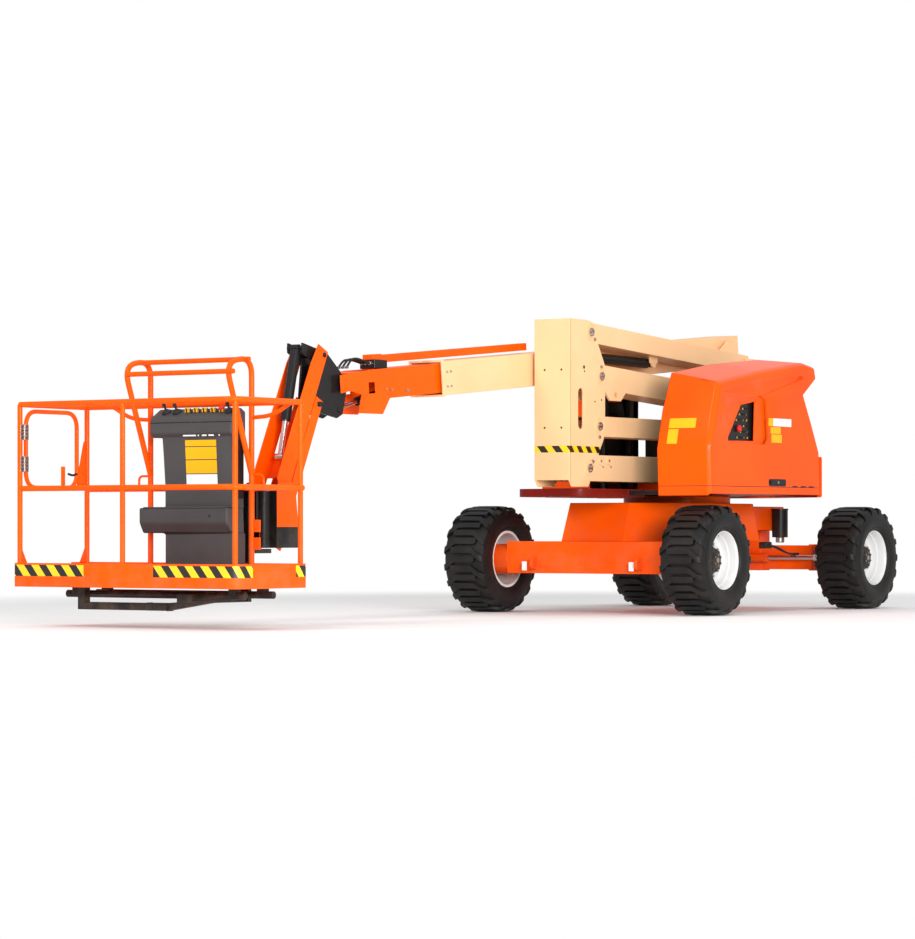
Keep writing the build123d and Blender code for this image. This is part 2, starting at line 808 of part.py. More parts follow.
def upper_arm():
    """The taller upper arm, with the lug that hangs from its underside."""
    y0 = RISER_Y - ARM_HALF_W
    y1 = 2 * RISER_Y - y0
    lug = side_plate(HANGER_OUTLINE, y0, y0 + 20) + side_plate(HANGER_OUTLINE, y1 - 20, y1)
    lug -= cross_pin(HANGER_HOLE, HANGER_HOLE_D, y0 - 1, y1 + 1)
    return arm(UPPER_ARM_PIN, UPPER_ARM_REAR, UPPER_ARM_H, lug)


def riser_base():
    """Where the riser cylinder's barrel is pinned under the upper link."""
    back = math.radians(UPPER_SLOPE)
    x = UPPER_LINK_PIN[0] - RISER_BASE_BACK * math.cos(back) + RISER_BASE_DROP * math.sin(back)
    z = UPPER_LINK_PIN[1] - RISER_BASE_BACK * math.sin(back) - RISER_BASE_DROP * math.cos(back)
    return (x, z)


def upper_link():
    place = riser_base()
    lug = Part()
    for y in (RISER_Y - 60, RISER_Y + 48):
        lug += block(place[0] - 60, place[0] + 60, y, y + 12, place[1], place[1] + 60)
        lug += cross_pin(place, 70, y, y + 12)
    lug += cross_pin(place, 30, RISER_Y - 60, RISER_Y + 60)
    return arm(UPPER_LINK_PIN, UPPER_LINK_REAR, UPPER_LINK_H, lug)


def upright():
    """The folded box between the two pairs of arms, open towards the rear."""
    half = UPRIGHT_W / 2
    y0 = RISER_Y - half
    y1 = RISER_Y + half
    body = side_plate(UPRIGHT_SIDE, y0, y0 + UPRIGHT_PLATE_T)
    near = side_plate(UPRIGHT_SIDE, y1 - UPRIGHT_PLATE_T, y1)
    slot_x, slot_z, slot_w, slot_h = UPRIGHT_SLOT
    slot = Pos(slot_x, y1, slot_z) * Box(slot_w, 3 * UPRIGHT_PLATE_T, slot_h)
    slot = fillet(slot.edges().filter_by(Axis.Y), slot_w / 2 - 1)
    body += near - slot
    front_x = UPRIGHT_FRONT_X
    body += block(front_x - UPRIGHT_PLATE_T, front_x, y0, y1, UPRIGHT_FOOT_Z, UPRIGHT_TOP_Z)
    for place in (LOWER_LINK_PIN, LOWER_ARM_PIN, UPPER_LINK_PIN, UPPER_ARM_PIN):
        body += cross_pin(place, 84, y0 - 6, y0 + UPRIGHT_PLATE_T)
        body += cross_pin(place, 84, y1 - UPRIGHT_PLATE_T, y1 + 6)
        body += cross_pin(place, PIN_D, y0 - 14, y1 + 14)
    body += cross_pin(RISER_EYE, 60, y0 - 4, y0 + UPRIGHT_PLATE_T)
    return body + cross_pin(RISER_EYE, 60, y1 - UPRIGHT_PLATE_T, y1 + 4)


def boom_mount():
    """The casting at the top of the risers: two riser plates and a far ear for the boom."""
    reach = ARM_HALF_W + ARM_GAP
    outline = [
        (UPPER_LINK_REAR[0] + 70, UPPER_LINK_REAR[1] + 70),
        (BOOM_PIVOT[0] + 60, BOOM_PIVOT[1] + 80),
        (BOOM_PIVOT[0] - 90, BOOM_PIVOT[1] + 70),
        (UPPER_ARM_REAR[0] - 140, UPPER_ARM_REAR[1] + 30),
        (UPPER_ARM_REAR[0] - 100, MOUNT_BOTTOM_Z),
        (LIFT_BASE[0] + 60, MOUNT_BOTTOM_Z),
        (LIFT_BASE[0] + 70, LIFT_BASE[1] + 50),
    ]
    y_mid = RISER_Y - reach - EAR_T
    y_near = RISER_Y + reach + EAR_T
    y_far = BOOM_Y - BASE_BOOM_W / 2 - MOUNT_EAR_GAP - EAR_T
    body = side_plate(outline, y_mid, y_mid + EAR_T)
    low = [shifted(UPPER_LINK_REAR, 70, 50), shifted(UPPER_LINK_REAR, -90, 50), *outline[3:]]
    body += side_plate(low, y_near - EAR_T, y_near)
    body += side_plate(outline, y_far, y_far + EAR_T)
    rear_x = UPPER_ARM_REAR[0] - UPPER_ARM_H / 2 - 2 * MOUNT_EAR_GAP
    rear = block(rear_x - EAR_T, rear_x, y_far, y_near, UPPER_ARM_REAR[1] - 60, UPPER_ARM_REAR[1] + 90)
    floor = block(rear_x, LIFT_BASE[0] - 40, y_far, y_mid + 1, MOUNT_BOTTOM_Z, MOUNT_BOTTOM_Z + EAR_T)
    body += rear
    body += floor
    for place in (UPPER_LINK_REAR, UPPER_ARM_REAR):
        body += cross_pin(place, PIN_D, y_mid - 8, y_near + 8)
    body += cross_pin(BOOM_PIVOT, PIN_D, y_far - 8, y_mid + EAR_T)
    return body + cross_pin(LIFT_BASE, LIFT_PIN_D, y_far - 8, y_mid + EAR_T)


def cylinder_line(base, eye):
    """The unit vector from a cylinder's base pin to its rod's eye."""
    span = math.dist(base, eye)
    return ((eye[0] - base[0]) / span, (eye[1] - base[1]) / span)


def along_line(base, line, reach, y):
    return (base[0] + line[0] * reach, y, base[1] + line[1] * reach)


def cylinder_barrel(base, eye, y, diameter, length, rod_d, pin_d, eye_w):
    """A cylinder's barrel, with its eye on the base pin and the rod's bore in its mouth."""
    line = cylinder_line(base, eye)
    start = along_line(base, line, pin_d * 0.75, y)
    end = along_line(base, line, length, y)
    body = rod_between(start, end, diameter)
    body += cross_pin(base, pin_d * 2, y - eye_w / 2, y + eye_w / 2)
    mouth = along_line(base, line, length + 1, y)
    blind_end = along_line(base, line, pin_d + BARREL_END, y)
    body -= rod_between(blind_end, mouth, rod_d + 2 * PIN_GAP)
    return body - cross_pin(base, pin_d + 2 * PIN_GAP, y - eye_w, y + eye_w)


def cylinder_rod(base, eye, y, length, rod_d, eye_d, eye_w, inside):
    """The rod of the same cylinder, from inside the barrel out to its eye."""
    line = cylinder_line(base, eye)
    body = rod_between(along_line(base, line, length - inside, y), (eye[0], y, eye[1]), rod_d)
    return body + cross_pin(eye, eye_d, y - eye_w / 2, y + eye_w / 2)


def riser_barrel():
    return cylinder_barrel(
        riser_base(), RISER_EYE, RISER_Y, RISER_BARREL_D, RISER_BARREL_L, RISER_ROD_D, 30, 90
    )


def riser_rod():
    return cylinder_rod(
        riser_base(), RISER_EYE, RISER_Y, RISER_BARREL_L, RISER_ROD_D, 60, 80, 400
    )


def lift_lug():
    return boom_point(LIFT_LUG_ALONG, -LIFT_LUG_DROP)


def lift_barrel():
    return cylinder_barrel(
        LIFT_BASE, lift_lug(), BOOM_Y, LIFT_BARREL_D, LIFT_BARREL_L, LIFT_ROD_D, LIFT_PIN_D, 90
    )


def lift_rod():
    return cylinder_rod(
        LIFT_BASE, lift_lug(), BOOM_Y, LIFT_BARREL_L, LIFT_ROD_D, 80, 84, 860
    )


def base_boom():
    """The cream outer boom section, with its pivot boss and the lug for the lift rod."""
    half = BASE_BOOM_H / 2
    body = boom_box(-BASE_BOOM_BACK, BASE_BOOM_FRONT, -half, half, BASE_BOOM_W)
    body -= boom_box(
        -BASE_BOOM_BACK + 60,
        BASE_BOOM_FRONT + 10,
        -half + BOOM_WALL,
        half - BOOM_WALL,
        BASE_BOOM_W - 2 * BOOM_WALL,
    )
    collar = boom_box(
        BASE_BOOM_FRONT - COLLAR_L,
        BASE_BOOM_FRONT,
        -half - COLLAR_T,
        half + COLLAR_T,
        BASE_BOOM_W + 2 * COLLAR_T,
    )
    collar -= boom_box(
        BASE_BOOM_FRONT - COLLAR_L - 1, BASE_BOOM_FRONT + 1, 1 - half, half - 1, BASE_BOOM_W - 2
    )
    body += collar
    y0 = BOOM_Y - BASE_BOOM_W / 2
    y1 = BOOM_Y + BASE_BOOM_W / 2
    body += cross_pin(BOOM_PIVOT, BOSS_D + 20, y0 - 8, y1 + 8)
    body -= cross_pin(BOOM_PIVOT, PIN_D + 2 * PIN_GAP, y0 - 20, y1 + 20)
    lug = lift_lug()
    for y in (BOOM_Y - 66, BOOM_Y + 52):
        outline = [
            boom_point(LIFT_LUG_ALONG - 110, -half + 1),
            boom_point(LIFT_LUG_ALONG + 110, -half + 1),
            boom_point(LIFT_LUG_ALONG + 42, -LIFT_LUG_DROP - 30),
            boom_point(LIFT_LUG_ALONG - 42, -LIFT_LUG_DROP - 30),
        ]
        body += side_plate(outline, y, y + 14)
    body += cross_pin(lug, 52, BOOM_Y - 72, BOOM_Y - 60)
    return body + cross_pin(lug, 52, BOOM_Y + 60, BOOM_Y + 72)


def fly_boom():
    """The orange inner section, with its cut-away nose and the lug plates of the level cylinder."""
    half = FLY_H / 2
    body = boom_box(FLY_REAR, FLY_FRONT, -half, half, FLY_W)
    body -= boom_box(
        FLY_REAR - 10, FLY_NOSE + 10, -half + FLY_WALL, half - FLY_WALL, FLY_W - 2 * FLY_WALL
    )
    body -= boom_box(FLY_OPEN, FLY_NOSE, -half - 1, -half + FLY_WALL + 1, FLY_W - 2 * FLY_WALL)
    nose = [
        boom_point(FLY_FRONT - 1, half),
        boom_point(FLY_NOSE, half - 20),
        boom_point(FLY_NOSE, -40),
        boom_point(FLY_NOSE - 120, -30),
        boom_point(FLY_NOSE - 250, -60),
        boom_point(FLY_NOSE - 200, -190),
        boom_point(FLY_NOSE - 500, -215),
        boom_point(FLY_FRONT - 240, -half),
        boom_point(FLY_FRONT - 240, -half + 10),
        boom_point(FLY_FRONT - 1, -half + 10),
    ]
    y0 = BOOM_Y - FLY_W / 2
    y1 = BOOM_Y + FLY_W / 2
    body += side_plate(nose, y0, y0 + FLY_WALL)
    body += side_plate(nose, y1 - FLY_WALL, y1)
    body += boom_box(FLY_FRONT - 2, FLY_NOSE - 90, half - FLY_WALL - 8, half - 8, FLY_W)
    body += cross_pin(LEVEL_PIVOT, JIB_PIN_D, y0 - 6, y1 + 6)
    body -= boom_box(FLY_FRONT - 60, FLY_FRONT + 20, -62, 18, FLY_W + 20)
    return body + cross_pin(LEVEL_BASE, 24, y0, y1)


def carrier_tube():
    """The square tube that carries the hoses over the boom and slides with the fly section."""
    low = FLY_H / 2 + CARRIER_GAP + (BASE_BOOM_H - FLY_H) / 2
    high = low + CARRIER_H
    body = boom_box(CARRIER_REAR, CARRIER_FRONT, low, high, CARRIER_W)
    body -= boom_box(
        CARRIER_REAR - 10,
        CARRIER_FRONT + 10,
        low + CARRIER_WALL,
        high - CARRIER_WALL,
        CARRIER_W - 2 * CARRIER_WALL,
    )
    clamp = boom_box(CARRIER_FRONT - 60, CARRIER_FRONT + 60, FLY_H / 2, high + 8, CARRIER_W + 24)
    clamp -= boom_box(CARRIER_FRONT - 61, CARRIER_FRONT, low, high, CARRIER_W)
    return body + clamp


def jib_bracket():
    """The black casting at the boom nose that stays level and carries the jib."""
    y0 = BOOM_Y - 68
    y1 = BOOM_Y + 68
    outline = [
        (LEVEL_PIVOT[0] - 60, LEVEL_PIVOT[1] + 30),
        (LEVEL_PIVOT[0] + 20, LEVEL_PIVOT[1] + 110),
        (JIB_TOP[0] - 60, JIB_TOP[1] + 45),
        (JIB_TOP[0] + 50, JIB_TOP[1] + 50),
        (JIB_CYL_TOP[0] + 10, JIB_CYL_TOP[1] + 34),
        (JIB_CYL_TOP[0] + 10, JIB_CYL_TOP[1] - 34),
        (JIB_TOP[0] + 40, JIB_TOP[1] - 60),
        (JIB_LINK_TOP[0] + 30, JIB_LINK_TOP[1] + 40),
        (JIB_LINK_TOP[0] + 30, JIB_LINK_TOP[1] - 36),
        (JIB_LINK_TOP[0] - 60, JIB_LINK_TOP[1] - 60),
        (LEVEL_PIN[0] + 30, LEVEL_PIN[1] - 60),
        (LEVEL_PIN[0] - 36, LEVEL_PIN[1] - 30),
        (LEVEL_PIVOT[0] - 60, LEVEL_PIVOT[1] - 40),
    ]
    body = side_plate(outline, y0, y0 + 16) + side_plate(outline, y1 - 16, y1)
    web = [
        (LEVEL_PIVOT[0] + 90, LEVEL_PIVOT[1] + 120),
        (JIB_TOP[0] - 70, JIB_TOP[1] - 60),
        (JIB_LINK_TOP[0] - 90, JIB_LINK_TOP[1] + 60),
        (LEVEL_PIN[0] + 120, LEVEL_PIN[1] - 20),
    ]
    body += side_plate(web, y0 + 1, y1 - 1)
    body -= cross_pin(LEVEL_PIVOT, JIB_PIN_D + 2 * PIN_GAP, y0 - 1, y1 + 1)
    body += cross_pin(LEVEL_PIN, 44, y0 - 6, y0 + 16)
    body += cross_pin(LEVEL_PIN, 44, y1 - 16, y1 + 6)
    body += cross_pin(JIB_CYL_TOP, 24, y0, y1)
    for place in (JIB_TOP, JIB_LINK_TOP):
        body += cross_pin(place, JIB_PIN_D, BOOM_Y - JIB_HALF_W - 6, BOOM_Y + JIB_HALF_W + 6)
    return body


def level_barrel():
    return cylinder_barrel(
        LEVEL_BASE, LEVEL_PIN, BOOM_Y, LEVEL_BARREL_D, LEVEL_BARREL_L, LEVEL_ROD_D, 24, 50
    )


def level_rod():
    return cylinder_rod(LEVEL_BASE, LEVEL_PIN, BOOM_Y, LEVEL_BARREL_L, LEVEL_ROD_D, 48, 50, 210)


def jib_frame(along, out):
    """A place beside the jib: along it from its top pin, and square to it towards the front."""
    length = math.hypot(*JIB_VECTOR)
    ux = JIB_VECTOR[0] / length
    uz = JIB_VECTOR[1] / length
    return (JIB_TOP[0] + along * ux - out * uz, JIB_TOP[1] + along * uz + out * ux)


def jib_arm():
    """Two orange side plates joined by a rear web, open towards the front."""
    length = math.hypot(*JIB_VECTOR)
    outline = [
        jib_frame(-40, -34),
        jib_frame(-40, 90),
        jib_frame(120, 110),
        jib_frame(length - 60, 120),
        jib_frame(length + 40, 30),
        jib_frame(length + 40, -34),
    ]
    y0 = BOOM_Y - JIB_HALF_W
    y1 = BOOM_Y + JIB_HALF_W
    body = side_plate(outline, y0, y0 + JIB_PLATE_T)
    body += side_plate(outline, y1 - JIB_PLATE_T, y1)
    web = [
        jib_frame(JIB_WEB_START, -34),
        jib_frame(JIB_WEB_START, -24),
        jib_frame(length - 130, -24),
        jib_frame(length - 130, -34),
    ]
    body += side_plate(web, y0, y1)
    for place in (JIB_TOP, JIB_FOOT):
        body -= cross_pin(place, JIB_PIN_D + 2 * PIN_GAP, y0 - 1, y1 + 1)
    foot = jib_cylinder_foot()
    body += cross_pin(foot, 50, y0 - 5, y0 + JIB_PLATE_T)
    return body + cross_pin(foot, 50, y1 - JIB_PLATE_T, y1 + 5)


def jib_cylinder_foot():
    return jib_frame(JIB_CYL_ALONG, 20)


def jib_link():
    """The orange parallel link behind the jib arm: a channel open towards the front."""
    length = math.hypot(*JIB_VECTOR)
    half = JIB_LINK_DEPTH / 2
    shift = (JIB_LINK_TOP[0] - JIB_TOP[0], JIB_LINK_TOP[1] - JIB_TOP[1])

    def place(along, out):
        return shifted(jib_frame(along, out), *shift)

    def outline(start, end):
        return [place(start, -half), place(start, half), place(end, half), place(end, -half)]

    y0 = BOOM_Y - JIB_LINK_W / 2
    y1 = BOOM_Y + JIB_LINK_W / 2
    wall = 10
    body = side_plate(outline(-40, length + 40), y0, y0 + wall)
    body += side_plate(outline(-40, length + 40), y1 - wall, y1)
    web = [place(90, -half), place(90, wall - half)]
    web += [place(length - 90, wall - half), place(length - 90, -half)]
    body += side_plate(web, y0, y1)
    for along in (0, length):
        body -= cross_pin(place(along, 0), JIB_PIN_D + 2 * PIN_GAP, y0 - 1, y1 + 1)
    return body


def jib_barrel():
    return cylinder_barrel(
        JIB_CYL_TOP, jib_cylinder_foot(), BOOM_Y, JIB_BARREL_D, JIB_BARREL_L, JIB_ROD_D, 24, 60
    )


def jib_rod():
    return cylinder_rod(
        JIB_CYL_TOP, jib_cylinder_foot(), BOOM_Y, JIB_BARREL_L, JIB_ROD_D, 48, 60, 320
    )


def platform_bracket():
    """The black box at the jib's foot with the rotator's upright housing in front."""
    x1 = ROTATOR[0] - ROTATOR_D / 2 + 6
    half = JIB_HALF_W + 24
    body = Part()
    for y in (BOOM_Y - half, BOOM_Y + half - BRACKET_T):
        outline = [
            (x1 - BRACKET_REACH, ROTATOR_Z0),
            (x1, ROTATOR_Z0),
            (x1, ROTATOR_Z1 + 60),
            (x1 - BRACKET_REACH + 60, ROTATOR_Z1 + 60),
        ]
        plate = side_plate(outline, y, y + BRACKET_T)
        body += fillet(plate.edges().filter_by(Axis.Y), 34)
    body += block(x1 - 16, x1, BOOM_Y - half, BOOM_Y + half, ROTATOR_Z0, ROTATOR_Z1)
    body += rod_between((*ROTATOR, ROTATOR_Z0), (*ROTATOR, ROTATOR_Z1), ROTATOR_D)
    for place in (JIB_FOOT, JIB_LINK_FOOT):
        body += cross_pin(place, JIB_PIN_D, BOOM_Y - half, BOOM_Y + half)
    return body


def platform_support():
    """The rotator's head and foot plates, the rear post and the carriage under the floor."""
    x, y = ROTATOR
    post_x = PLATFORM_X0 - 70
    body = block(x - 40, PLATFORM_X0 - 20, y - 40, y + 40, ROTATOR_Z0 - 36, ROTATOR_Z0 - WHEEL_GAP)
    body += block(x - 40, PLATFORM_X0 - 20, y - 40, y + 40, ROTATOR_Z1 + WHEEL_GAP, ROTATOR_Z1 + 36)
    body += block(post_x, PLATFORM_X0 - 30, y - 70, y + 70, 170, ROTATOR_Z1 + 36)
    beam_x = PLATFORM_X1 - 178
    body += block(post_x, beam_x, y - 60, y + 60, 170, FLOOR_Z0 - 40)
    y0, y1 = SUPPORT_TUBE_Y
    z = SUPPORT_TUBE_Z
    for tube_x in (PLATFORM_X0 + 106, PLATFORM_X0 + 416):
        body += rod_between((tube_x, y0, z), (tube_x, y1, z), SUPPORT_TUBE_D)
        for pad_y in (y0 + 90, y1 - 90):
            body += block(tube_x - 30, tube_x + 30, pad_y - 30, pad_y + 30, z, FLOOR_Z0)
    low = SUPPORT_LOW_Z
    cradle_x = beam_x - 40
    body += block(cradle_x - 30, cradle_x + 30, -1060, -300, low, low + 50)
    body += block(cradle_x - 50, cradle_x + 50, -470, -300, low, 171)
    slope = [(-301, low), (60, 176), (60, 200), (-301, 171)]
    brace = make_face(Plane.YZ.offset(cradle_x - 30) * Polyline(*slope, close=True))
    body += extrude(brace, amount=60)
    return body + block(cradle_x - 30, cradle_x + 30, -1060, -1000, low + 49, FLOOR_Z0)


def platform_floor():
    """The floor with its kick plate, a raised deck plate, and the gap under the gate."""
    x0, x1 = PLATFORM_X0, PLATFORM_X1
    y0, y1 = PLATFORM_Y0, PLATFORM_Y1
    top = FLOOR_Z0 + FLOOR_T
    body = block(x0, x1, y0, y1, FLOOR_Z0, FLOOR_Z0 + KICK_H)
    body = fillet(near_front_edge(body), RAIL_BEND)
    hollow = block(x0 + KICK_T, x1 - KICK_T, y0 + KICK_T, y1 - KICK_T, top, FLOOR_Z0 + KICK_H + 1)
    body -= fillet(near_front_edge(hollow), RAIL_BEND - KICK_T)
    body -= block(x0 + 166, x1 - 88, y0 - 1, y0 + KICK_T + 1, top, FLOOR_Z0 + KICK_H + 1)
    deck = block(x0 + DECK_X, x1 - 60, y0 + DECK_INSET, y1 - DECK_INSET, top - 1, top + DECK_T)
    return body + deck


def near_front_edge(shape):
    """The upright edge of a box at its +X +Y corner, where the platform's corner is round."""
    return shape.edges().filter_by(Axis.Z).group_by(Axis.Y)[-1].sort_by(Axis.X)[-1:]


def rail_x():
    """The X of the rear and front rail lines."""
    inset = RAIL_D / 2 + KICK_T + 1
    return (PLATFORM_X0 + inset, PLATFORM_X1 - inset)


def rail_y():
    inset = RAIL_D / 2 + KICK_T + 1
    return (PLATFORM_Y0 + inset, PLATFORM_Y1 - inset)


def platform_rails():
    """Ring rails on their posts, two bent guards behind the console, and the hand bars."""
    x0, x1 = rail_x()
    y0, y1 = rail_y()
    foot = FLOOR_Z0 + FLOOR_T
    tuck = RAIL_BEND * (1 - math.sqrt(0.5))
    body = Part()
    for z in (TOP_RAIL_Z, MID_RAIL_Z):
        side = [(PLATFORM_X0 + 2, y1, z), (x1, y1, z), (x1, y0, z)]
        body += bent_tube(side, RAIL_BEND, RAIL_D)
        body += rod_between((x0, y0, z), (x0, y1, z), RAIL_D - 2)
    body += rod_between((x0, y0, TOP_RAIL_Z), (x1, y0, TOP_RAIL_Z), RAIL_D)
    posts = [(x0, y0), (x1, y0), (x0, y1), (x1 - tuck, y1 - tuck), (x1, MID_POST_Y)]
    for x, y in posts:
        body += rod_between((x, y, foot), (x, y, TOP_RAIL_Z), POST_D)
    arch_x = x0 + GUARD_REACH
    arch_z = GUARD_Z - GUARD_DROP
    for y in (GUARD_Y0, GUARD_Y1):
        arch = [(x0, y, foot), (x0, y, GUARD_Z), (arch_x, y, arch_z), (x0 + 40, y, GUARD_BRACE_Z + 102)]
        body += bent_tube(arch, 60, RAIL_D)
        body += rod_between((x0 + 42, y, GUARD_BRACE_Z + 107), (x0, y, GUARD_BRACE_Z), RAIL_D - 2)
    for x, z in ((x0 + 90, GUARD_Z - 11), (arch_x - 26, arch_z - 66)):
        body += rod_between((x, GUARD_Y0, z), (x, GUARD_Y1, z), RAIL_D - 4)
    for y, side in ((GUARD_Y0, -1), (GUARD_Y1, 1)):
        loop_y = y + side * 100
        loop = [(x0, y, MID_RAIL_Z + 88), (x0, loop_y, MID_RAIL_Z + 88), (x0, loop_y, MID_RAIL_Z)]
        body += bent_tube(loop, 30, HANDLE_D)
        bar = [(x0, y, 1400), (x0, y + side * 170, 1412), (x0, y + side * 330, TOP_RAIL_Z)]
        body += bent_tube(bar, 150, RAIL_D - 10)
    return body


def gate():
    """The tube-frame gate on the far short side, hinged at the front post."""
    y = rail_y()[0]
    x0 = rail_x()[0] + 110
    x1 = rail_x()[1] - 60
    middle = (x0 + x1) / 2
    body = Part()
    for x in (x0, x1):
        half = [(middle, y, GATE_Z0), (x, y, GATE_Z0), (x, y, GATE_Z1), (middle, y, GATE_Z1)]
        body += bent_tube(half, GATE_BEND, GATE_TUBE_D)
    return body


def console():
    """The control box on its neck, the wide tray under it and the stand on the floor."""
    x0 = rail_x()[0] + RAIL_D / 2 + 2
    foot_z = FLOOR_Z0 + FLOOR_T
    body = console_shell(CONSOLE_BODY, CONSOLE_BODY_Y, x0)
    body += console_shell(CONSOLE_SLAB, CONSOLE_SLAB_Y, x0)
    z0, z1 = CONSOLE_TRAY_Z
    depth = CONSOLE_DEPTH
    tray = ((0, z0), (0, z1), (depth, z1), (depth, z0 + 70), (depth - 40, z0))
    body += console_shell(tray, CONSOLE_TRAY_Y, x0)
    pocket_y = (CONSOLE_TRAY_Y[0] + 30, CONSOLE_TRAY_Y[1] - 30)
    body -= block(x0 + 126, x0 + depth - 12, *pocket_y, z1 - 60, z1 + 1)
    body += block(x0 + 119, x0 + depth - 5, *pocket_y, z1 - 66, z1 - 59)
    stand = ((0, foot_z), (0, z0 + 1), (CONSOLE_STAND_DEPTH, z0 + 1), (CONSOLE_STAND_DEPTH, foot_z))
    return body + console_shell(stand, CONSOLE_STAND_Y, x0)


def console_shell(profile, span, x0):
    """A moulded box of one side outline, hollow inside a thin wall."""
    points = [(x0 + x, z) for x, z in profile]
    y0, y1 = span
    wire = offset(Polyline(*points, close=True), amount=-CONSOLE_WALL, kind=Kind.INTERSECTION)
    hollow = Plane.XZ.offset(-y1 + CONSOLE_WALL) * make_face(wire)
    return side_plate(points, y0, y1) - extrude(hollow, amount=y1 - y0 - 2 * CONSOLE_WALL)


def build_all():
    nodes = {
        "chassis_frame": chassis_frame(),
        "drive_axle": drive_axle(),
        "steer_axle": steer_axle(),
        "steer_rod": steer_rod(),
        "knuckle_left": knuckle(1),
        "knuckle_right": knuckle(-1),
        "turntable_frame": turntable_frame(),
        "counterweight": counterweight(),
        "hood_left": hood(1),
        "hood_right": hood(-1),
        "engine_block": engine_block(),
        "lower_arm": lower_arm(),
        "lower_link": lower_link(),
        "upper_arm": upper_arm(),
        "upper_link": upper_link(),
        "upright": upright(),
        "boom_mount": boom_mount(),
        "riser_barrel": riser_barrel(),
        "riser_rod": riser_rod(),
        "lift_barrel": lift_barrel(),
        "lift_rod": lift_rod(),
        "base_boom": base_boom(),
        "fly_boom": fly_boom(),
        "carrier_tube": carrier_tube(),
        "jib_bracket": jib_bracket(),
        "level_barrel": level_barrel(),
        "level_rod": level_rod(),
        "jib_arm": jib_arm(),
        "jib_link": jib_link(),
        "jib_barrel": jib_barrel(),
        "jib_rod": jib_rod(),
        "platform_bracket": platform_bracket(),
        "platform_support": platform_support(),
        "platform_floor": platform_floor(),
        "platform_rails": platform_rails(),
        "gate": gate(),
        "console": console(),
    }
    for end, x in (("drive", WHEEL_BASE / 2), ("steer", -WHEEL_BASE / 2)):
        for hand, side in (("left", 1), ("right", -1)):
            nodes[f"tyre_{end}_{hand}"] = tyre(x, side)
            nodes[f"rim_{end}_{hand}"] = rim(x, side)
    return nodes


os.makedirs("parts", exist_ok=True)
for name, shape in build_all().items():
    export_step(shape, f"parts/{name}.step")
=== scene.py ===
# %% [markdown]
# An articulating boom lift, dressed for its picture. The imported model comes first as a fixed
# frame: its solids hold the sizes and the joints, and this script adds the finish and the small
# detail.

# %% Load the frame
import json
import math

import bmesh
import bpy
from mathutils import Matrix, Vector
from mathutils.bvhtree import BVHTree


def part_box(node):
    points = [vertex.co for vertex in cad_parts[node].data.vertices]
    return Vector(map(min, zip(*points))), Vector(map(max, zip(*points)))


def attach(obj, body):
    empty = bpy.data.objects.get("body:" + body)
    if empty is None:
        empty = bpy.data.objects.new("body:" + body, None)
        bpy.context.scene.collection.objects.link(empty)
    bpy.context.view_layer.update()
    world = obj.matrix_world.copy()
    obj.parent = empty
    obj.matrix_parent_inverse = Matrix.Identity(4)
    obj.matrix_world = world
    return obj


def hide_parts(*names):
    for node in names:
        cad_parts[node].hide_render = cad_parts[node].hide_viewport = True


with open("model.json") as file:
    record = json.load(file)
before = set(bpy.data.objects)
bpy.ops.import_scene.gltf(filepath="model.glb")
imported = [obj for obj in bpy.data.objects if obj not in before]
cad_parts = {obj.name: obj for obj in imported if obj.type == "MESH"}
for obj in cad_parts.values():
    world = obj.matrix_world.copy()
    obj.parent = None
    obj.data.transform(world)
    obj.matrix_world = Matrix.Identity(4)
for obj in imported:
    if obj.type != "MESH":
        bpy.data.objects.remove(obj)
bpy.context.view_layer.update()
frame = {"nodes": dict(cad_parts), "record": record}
nodes = frame["nodes"]

# %% [markdown]
# The camera stands low and far off at the front left, with a long lens, so that near and far
# wheels come out almost equal in size. Its place and lens were worked out from the wheels and the
# platform's edges. A small shift does the framing, so the camera stays level and upright edges
# stay upright.

# %% Camera
PHOTO_W, PHOTO_H = 915, 939
LENS_PX = 3312.2
CENTRE_PX = (402.5, 526.8)
CAMERA_PLACE = (23.378, 13.255, 0.673)
CAMERA_TURN = 124.287

camera_data = bpy.data.cameras.new("camera")
camera_data.sensor_width = 36
camera_data.lens = LENS_PX * 36 / PHOTO_H
camera_data.shift_x = (PHOTO_W / 2 - CENTRE_PX[0]) / PHOTO_H
camera_data.shift_y = (CENTRE_PX[1] - PHOTO_H / 2) / PHOTO_H
camera_data.clip_end = 200
camera = bpy.data.objects.new("camera", camera_data)
camera.location = CAMERA_PLACE
camera.rotation_euler = (math.radians(90), 0, math.radians(CAMERA_TURN))
bpy.context.scene.collection.objects.link(camera)
bpy.context.scene.camera = camera
print("lens", round(camera_data.lens, 1), "mm")

# %% [markdown]
# A plain studio: a pale floor, an even world, and three soft lamps. The key lamp stands high on
# the left of the picture, the fill stands low beside the camera and lights what lies behind the
# upright, and a long strip above the machine draws the bright line along each roof. Colours are
# shown as they are written.

# %% Floor, world and lamps
scene = bpy.context.scene
scene.view_settings.view_transform = "Standard"


def add_to_scene(name, data):
    thing = bpy.data.objects.new(name, data)
    scene.collection.objects.link(thing)
    return thing


def lamp(name, place, aim, size, power):
    data = bpy.data.lights.new(name, "AREA")
    data.shape = "RECTANGLE"
    data.size, data.size_y = size
    data.energy = power
    thing = add_to_scene(name, data)
    thing.location = place
    thing.rotation_euler = (Vector(aim) - Vector(place)).to_track_quat("-Z", "Y").to_euler()


lamp("key_lamp", (14.0, -3.0, 9.5), (2.4, 0, 0.9), (3.5, 3.5), 540)
lamp("fill_lamp", (14.0, 13.5, 3.6), (1.5, 0, 1.0), (8, 4.5), 2700)
lamp("roof_strip", (1.0, 3.0, 10.0), (1.0, 0.5, 1.5), (9, 2.5), 260)

world = bpy.data.worlds.new("studio")
scene.world = world
world.use_nodes = True
wn, wl = world.node_tree.nodes, world.node_tree.links
wn.clear()


